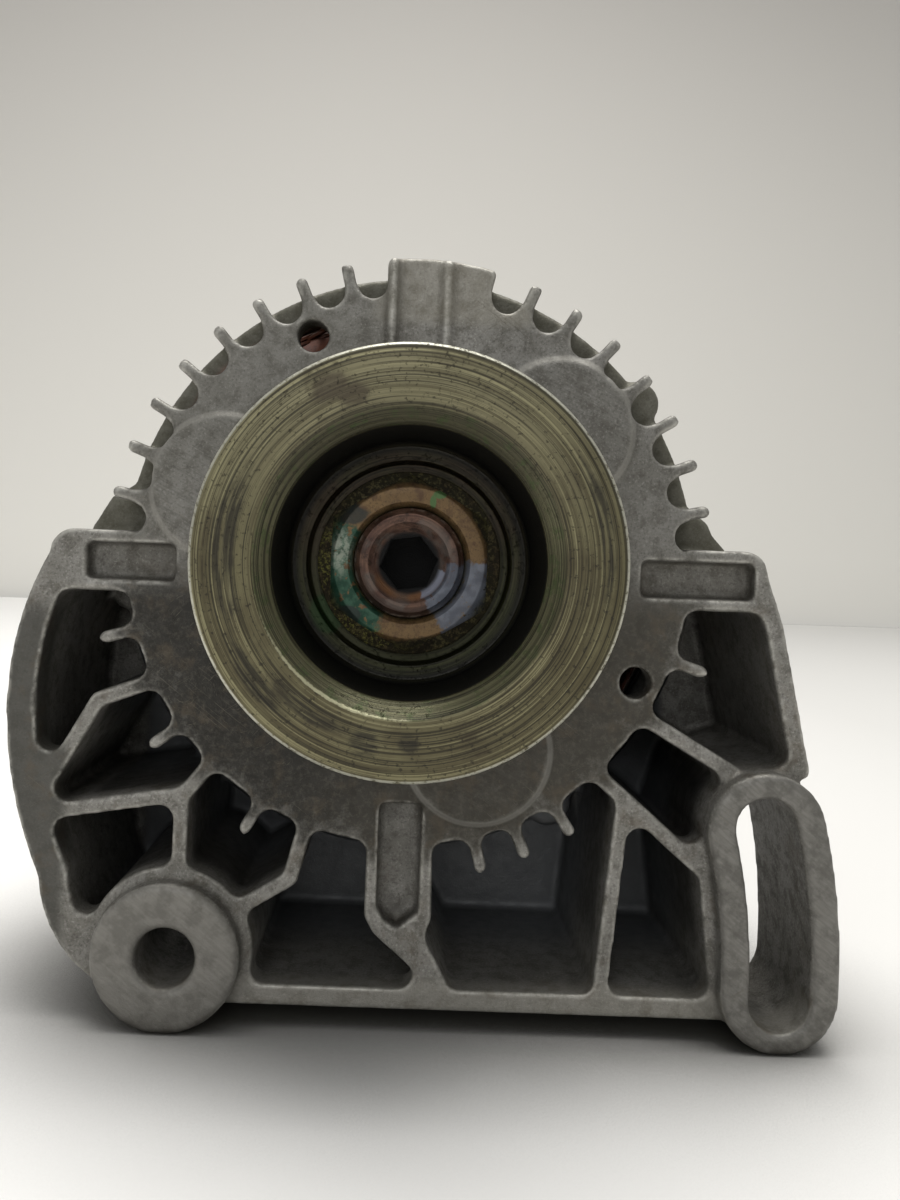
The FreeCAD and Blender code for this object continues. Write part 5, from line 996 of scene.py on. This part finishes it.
def winding_piece():
    """Slot bars and end turns, with the wires of the end turns laid over them."""
    work = bmesh.new()
    core_front, core_back = 30.0, 58.0
    for near, far in ((core_front - 0.2, core_front - 10.9), (core_back + 0.2, core_back + 10.9)):
        profile = softened([(42.6, near), (47.4, near), (47.4, far), (42.6, far)], 1.2)
        skin(work, [ring_of(144, depth, r) for r, depth in profile], True)
    for number in range(36):
        turn = math.radians(5 + 10 * number)
        out = Vector((math.cos(turn), 0, math.sin(turn)))
        side = Vector((-math.sin(turn), 0, math.cos(turn)))
        rings = []
        for depth in (core_front - 1.2, core_back + 1.2):
            centre = row(0, depth, 0)
            rings.append([
                centre + (out * r + side * s) * MM
                for r, s in ((40.7, -1.4), (48.4, -1.4), (48.4, 1.4), (40.7, 1.4))
            ])
        skin(work, rings, False)
    span = math.radians(30)
    random = np.random.default_rng(7)
    for face_depth, away in ((core_front, -1), (core_back, 1)):
        for number in range(36):
            for strand in range(7):
                start = math.radians(5 + 10 * number) + math.radians(random.uniform(-1.3, 1.3))
                reach = 42.2 + 5.2 * ((strand * 5 + number * 2) % 7) / 6 + random.uniform(-0.15, 0.15)
                rise = 9.3 + 2.0 * ((strand * 3 + number) % 4) / 3
                path = []
                for step in range(13):
                    t = step / 12
                    lift = math.sin(math.pi * t) ** 0.55
                    swell = 0.35 * math.sin(2 * math.pi * t + strand)
                    turn = start + span * t
                    r = reach + swell
                    path.append(row(
                        r * math.cos(turn), face_depth + away * (0.3 + rise * lift), r * math.sin(turn)
                    ))
                skin(work, wire_rings(path, 0.52 * MM), False)
    mesh = mesh_of(work, "winding_wires", 50)
    new_piece("winding_wires", mesh, "housing", ["stator_winding"], "copper_wire")


def bevelled(node, name, body, slot, width, angle=35.0, finish=None):
    """A machined or moulded piece with its sharp corners eased."""
    work = bmesh.new()
    work.from_mesh(welded_copy(node))
    bmesh.ops.dissolve_limit(work, angle_limit=math.radians(1.0), verts=work.verts, edges=work.edges)
    mesh = bpy.data.meshes.new(name)
    work.to_mesh(mesh)
    work.free()
    steps = [("BEVEL", {
        "width": width * MM, "segments": 2, "limit_method": "ANGLE",
        "angle_limit": math.radians(angle), "harden_normals": False, "use_clamp_overlap": True,
    })]
    mesh = with_modifiers(mesh, steps)
    shade_by_angle(mesh, 32)
    new_piece(name, mesh, body, [node], slot, finish)


casting("drive_end_bracket", "bracket_casting", voxel=0.58, smoothing=6)
casting("slip_ring_end_bracket", "rear_casting", voxel=0.72, smoothing=4)
pulley_piece()
nut_piece()
shaft_piece()
winding_piece()
bevelled("rear_cover", "cover_shell", "housing", "black_plastic", 0.35)
bevelled("battery_stud_nut", "battery_nut", "housing", "plated_steel", 0.25)
bevelled("cover_nuts", "cover_nut_set", "housing", "plated_steel", 0.2)
bevelled("through_bolts", "through_bolt_set", "housing", "plated_steel", 0.2)
bevelled("pulley_washer", "washer_piece", "rotor", "nut_steel", 0.25, finish="washer_steel")
bevelled("lamp_terminal", "lamp_blade", "housing", "plated_steel", 0.12)

for part in frame["record"]["subparts"]:
    node = frame["nodes"][part["node"]]
    finish = finishes[own_finish.get(part["node"], part["material_slot"])]
    node.data.materials.clear()
    node.data.materials.append(finish)


# Stage, light and camera


def flat(name, corners, tone):
    """A plain sheet of the stage."""
    mesh = bpy.data.meshes.new(name)
    mesh.from_pydata(corners, [], [(0, 1, 2, 3)])
    made = bpy.data.objects.new(name, mesh)
    bpy.context.scene.collection.objects.link(made)
    material = bpy.data.materials.new(name)
    material.use_nodes = True
    shader = material.node_tree.nodes["Principled BSDF"]
    shader.inputs["Base Color"].default_value = tone
    shader.inputs["Roughness"].default_value = 0.85
    mesh.materials.append(material)
    return made


def toned(thing, lower, upper, low, high, axis):
    """A plain tone that changes evenly along one axis of the stage."""
    tree = thing.data.materials[0].node_tree
    shader = tree.nodes["Principled BSDF"]
    place = tree.nodes.new("ShaderNodeTexCoord").outputs["Object"]
    apart = tree.nodes.new("ShaderNodeSeparateXYZ")
    tree.links.new(place, apart.inputs[0])
    share = tree.nodes.new("ShaderNodeMapRange")
    tree.links.new(apart.outputs[axis], share.inputs["Value"])
    share.inputs["From Min"].default_value = low
    share.inputs["From Max"].default_value = high
    tone = tree.nodes.new("ShaderNodeMix")
    tone.data_type = "RGBA"
    tree.links.new(share.outputs[0], tone.inputs[0])
    tone.inputs[6].default_value = lower
    tone.inputs[7].default_value = upper
    tree.links.new(tone.outputs[2], shader.inputs["Base Color"])
    return tree, tone, shader


FLOOR = cad_low.z
WALL_DEPTH = 1.42
table = flat("table", [
    (-2.5, -2.0, FLOOR), (2.5, -2.0, FLOOR), (2.5, WALL_DEPTH, FLOOR), (-2.5, WALL_DEPTH, FLOOR),
], colour(232, 231, 229))
# The table is painted lighter at the left and darker at the right, as painted light falloff.
tree, tone, shader = toned(table, colour(254, 253, 251), colour(222, 221, 218), -0.2, 0.3, "X")
# Painted shadow: the table is darkened near the object by ambient occlusion.
close = tree.nodes.new("ShaderNodeAmbientOcclusion")
close.samples = 3
close.inputs["Distance"].default_value = 0.045
depth = tree.nodes.new("ShaderNodeMapRange")
depth.inputs["From Min"].default_value = 0.35
depth.inputs["From Max"].default_value = 0.95
tree.links.new(close.outputs["AO"], depth.inputs["Value"])
shade = tree.nodes.new("ShaderNodeMix")
shade.data_type = "RGBA"
shade.inputs[6].default_value = colour(60, 58, 52)
tree.links.new(depth.outputs[0], shade.inputs[0])
tree.links.new(tone.outputs[2], shade.inputs[7])
tree.links.new(shade.outputs[2], shader.inputs["Base Color"])
backdrop = flat("backdrop", [
    (-4, WALL_DEPTH + 0.02, -0.6), (4, WALL_DEPTH + 0.02, -0.6), (4, WALL_DEPTH + 0.02, 3.0),
    (-4, WALL_DEPTH + 0.02, 3.0),
], colour(214, 211, 204))
# The backdrop is painted darker towards the top, as painted light falloff.
toned(backdrop, colour(230, 228, 222), colour(190, 187, 182), 0.1, 1.05, "Z")


def lamp(name, place, aim, width, height, power, tint=(1, 1, 1)):
    light = bpy.data.lights.new(name, "AREA")
    light.shape = "RECTANGLE"
    light.size = width
    light.size_y = height
    light.energy = power
    light.color = tint
    made = bpy.data.objects.new(name, light)
    bpy.context.scene.collection.objects.link(made)
    made.location = place
    made.rotation_mode = "QUATERNION"
    made.rotation_quaternion = (Vector(aim) - Vector(place)).to_track_quat("-Z", "Y")


lamp("overhead", (0.1, 0.1, 1.5), (0.04, 0.05, 0.05), 1.2, 0.9, 21.0, (1.0, 0.985, 0.96))
lamp("front_fill", (-0.25, -1.5, 0.8), (0.04, 0.0, 0.06), 1.2, 0.9, 6.0, (0.97, 0.985, 1.0))

world = bpy.data.worlds.new("room")
world.use_nodes = True
background = world.node_tree.nodes["Background"]
background.inputs["Color"].default_value = (0.80, 0.80, 0.79, 1.0)
background.inputs["Strength"].default_value = 0.55
bpy.context.scene.world = world

# The camera as fitted to the photo
PHOTO_HEIGHT = 1200
CAMERA_DEPTH = -0.161
CAMERA_ROLL = 2.0
lens = bpy.data.cameras.new("camera")
lens.sensor_fit = "AUTO"
lens.sensor_width = 36.0
lens.lens = 28.08
lens.shift_x = 41 / PHOTO_HEIGHT
lens.shift_y = -37 / PHOTO_HEIGHT
lens.clip_start = 0.01
lens.clip_end = 20.0
camera = bpy.data.objects.new("camera", lens)
bpy.context.scene.collection.objects.link(camera)
roll = math.radians(CAMERA_ROLL)
camera.matrix_world = Matrix((
    (math.cos(roll), -math.sin(roll), 0.0, AXIS.x),
    (0.0, 0.0, -1.0, CAMERA_DEPTH),
    (math.sin(roll), math.cos(roll), 0.0, AXIS.z),
    (0.0, 0.0, 0.0, 1.0),
))
bpy.context.scene.camera = camera
bpy.context.scene.view_settings.view_transform = "Standard"
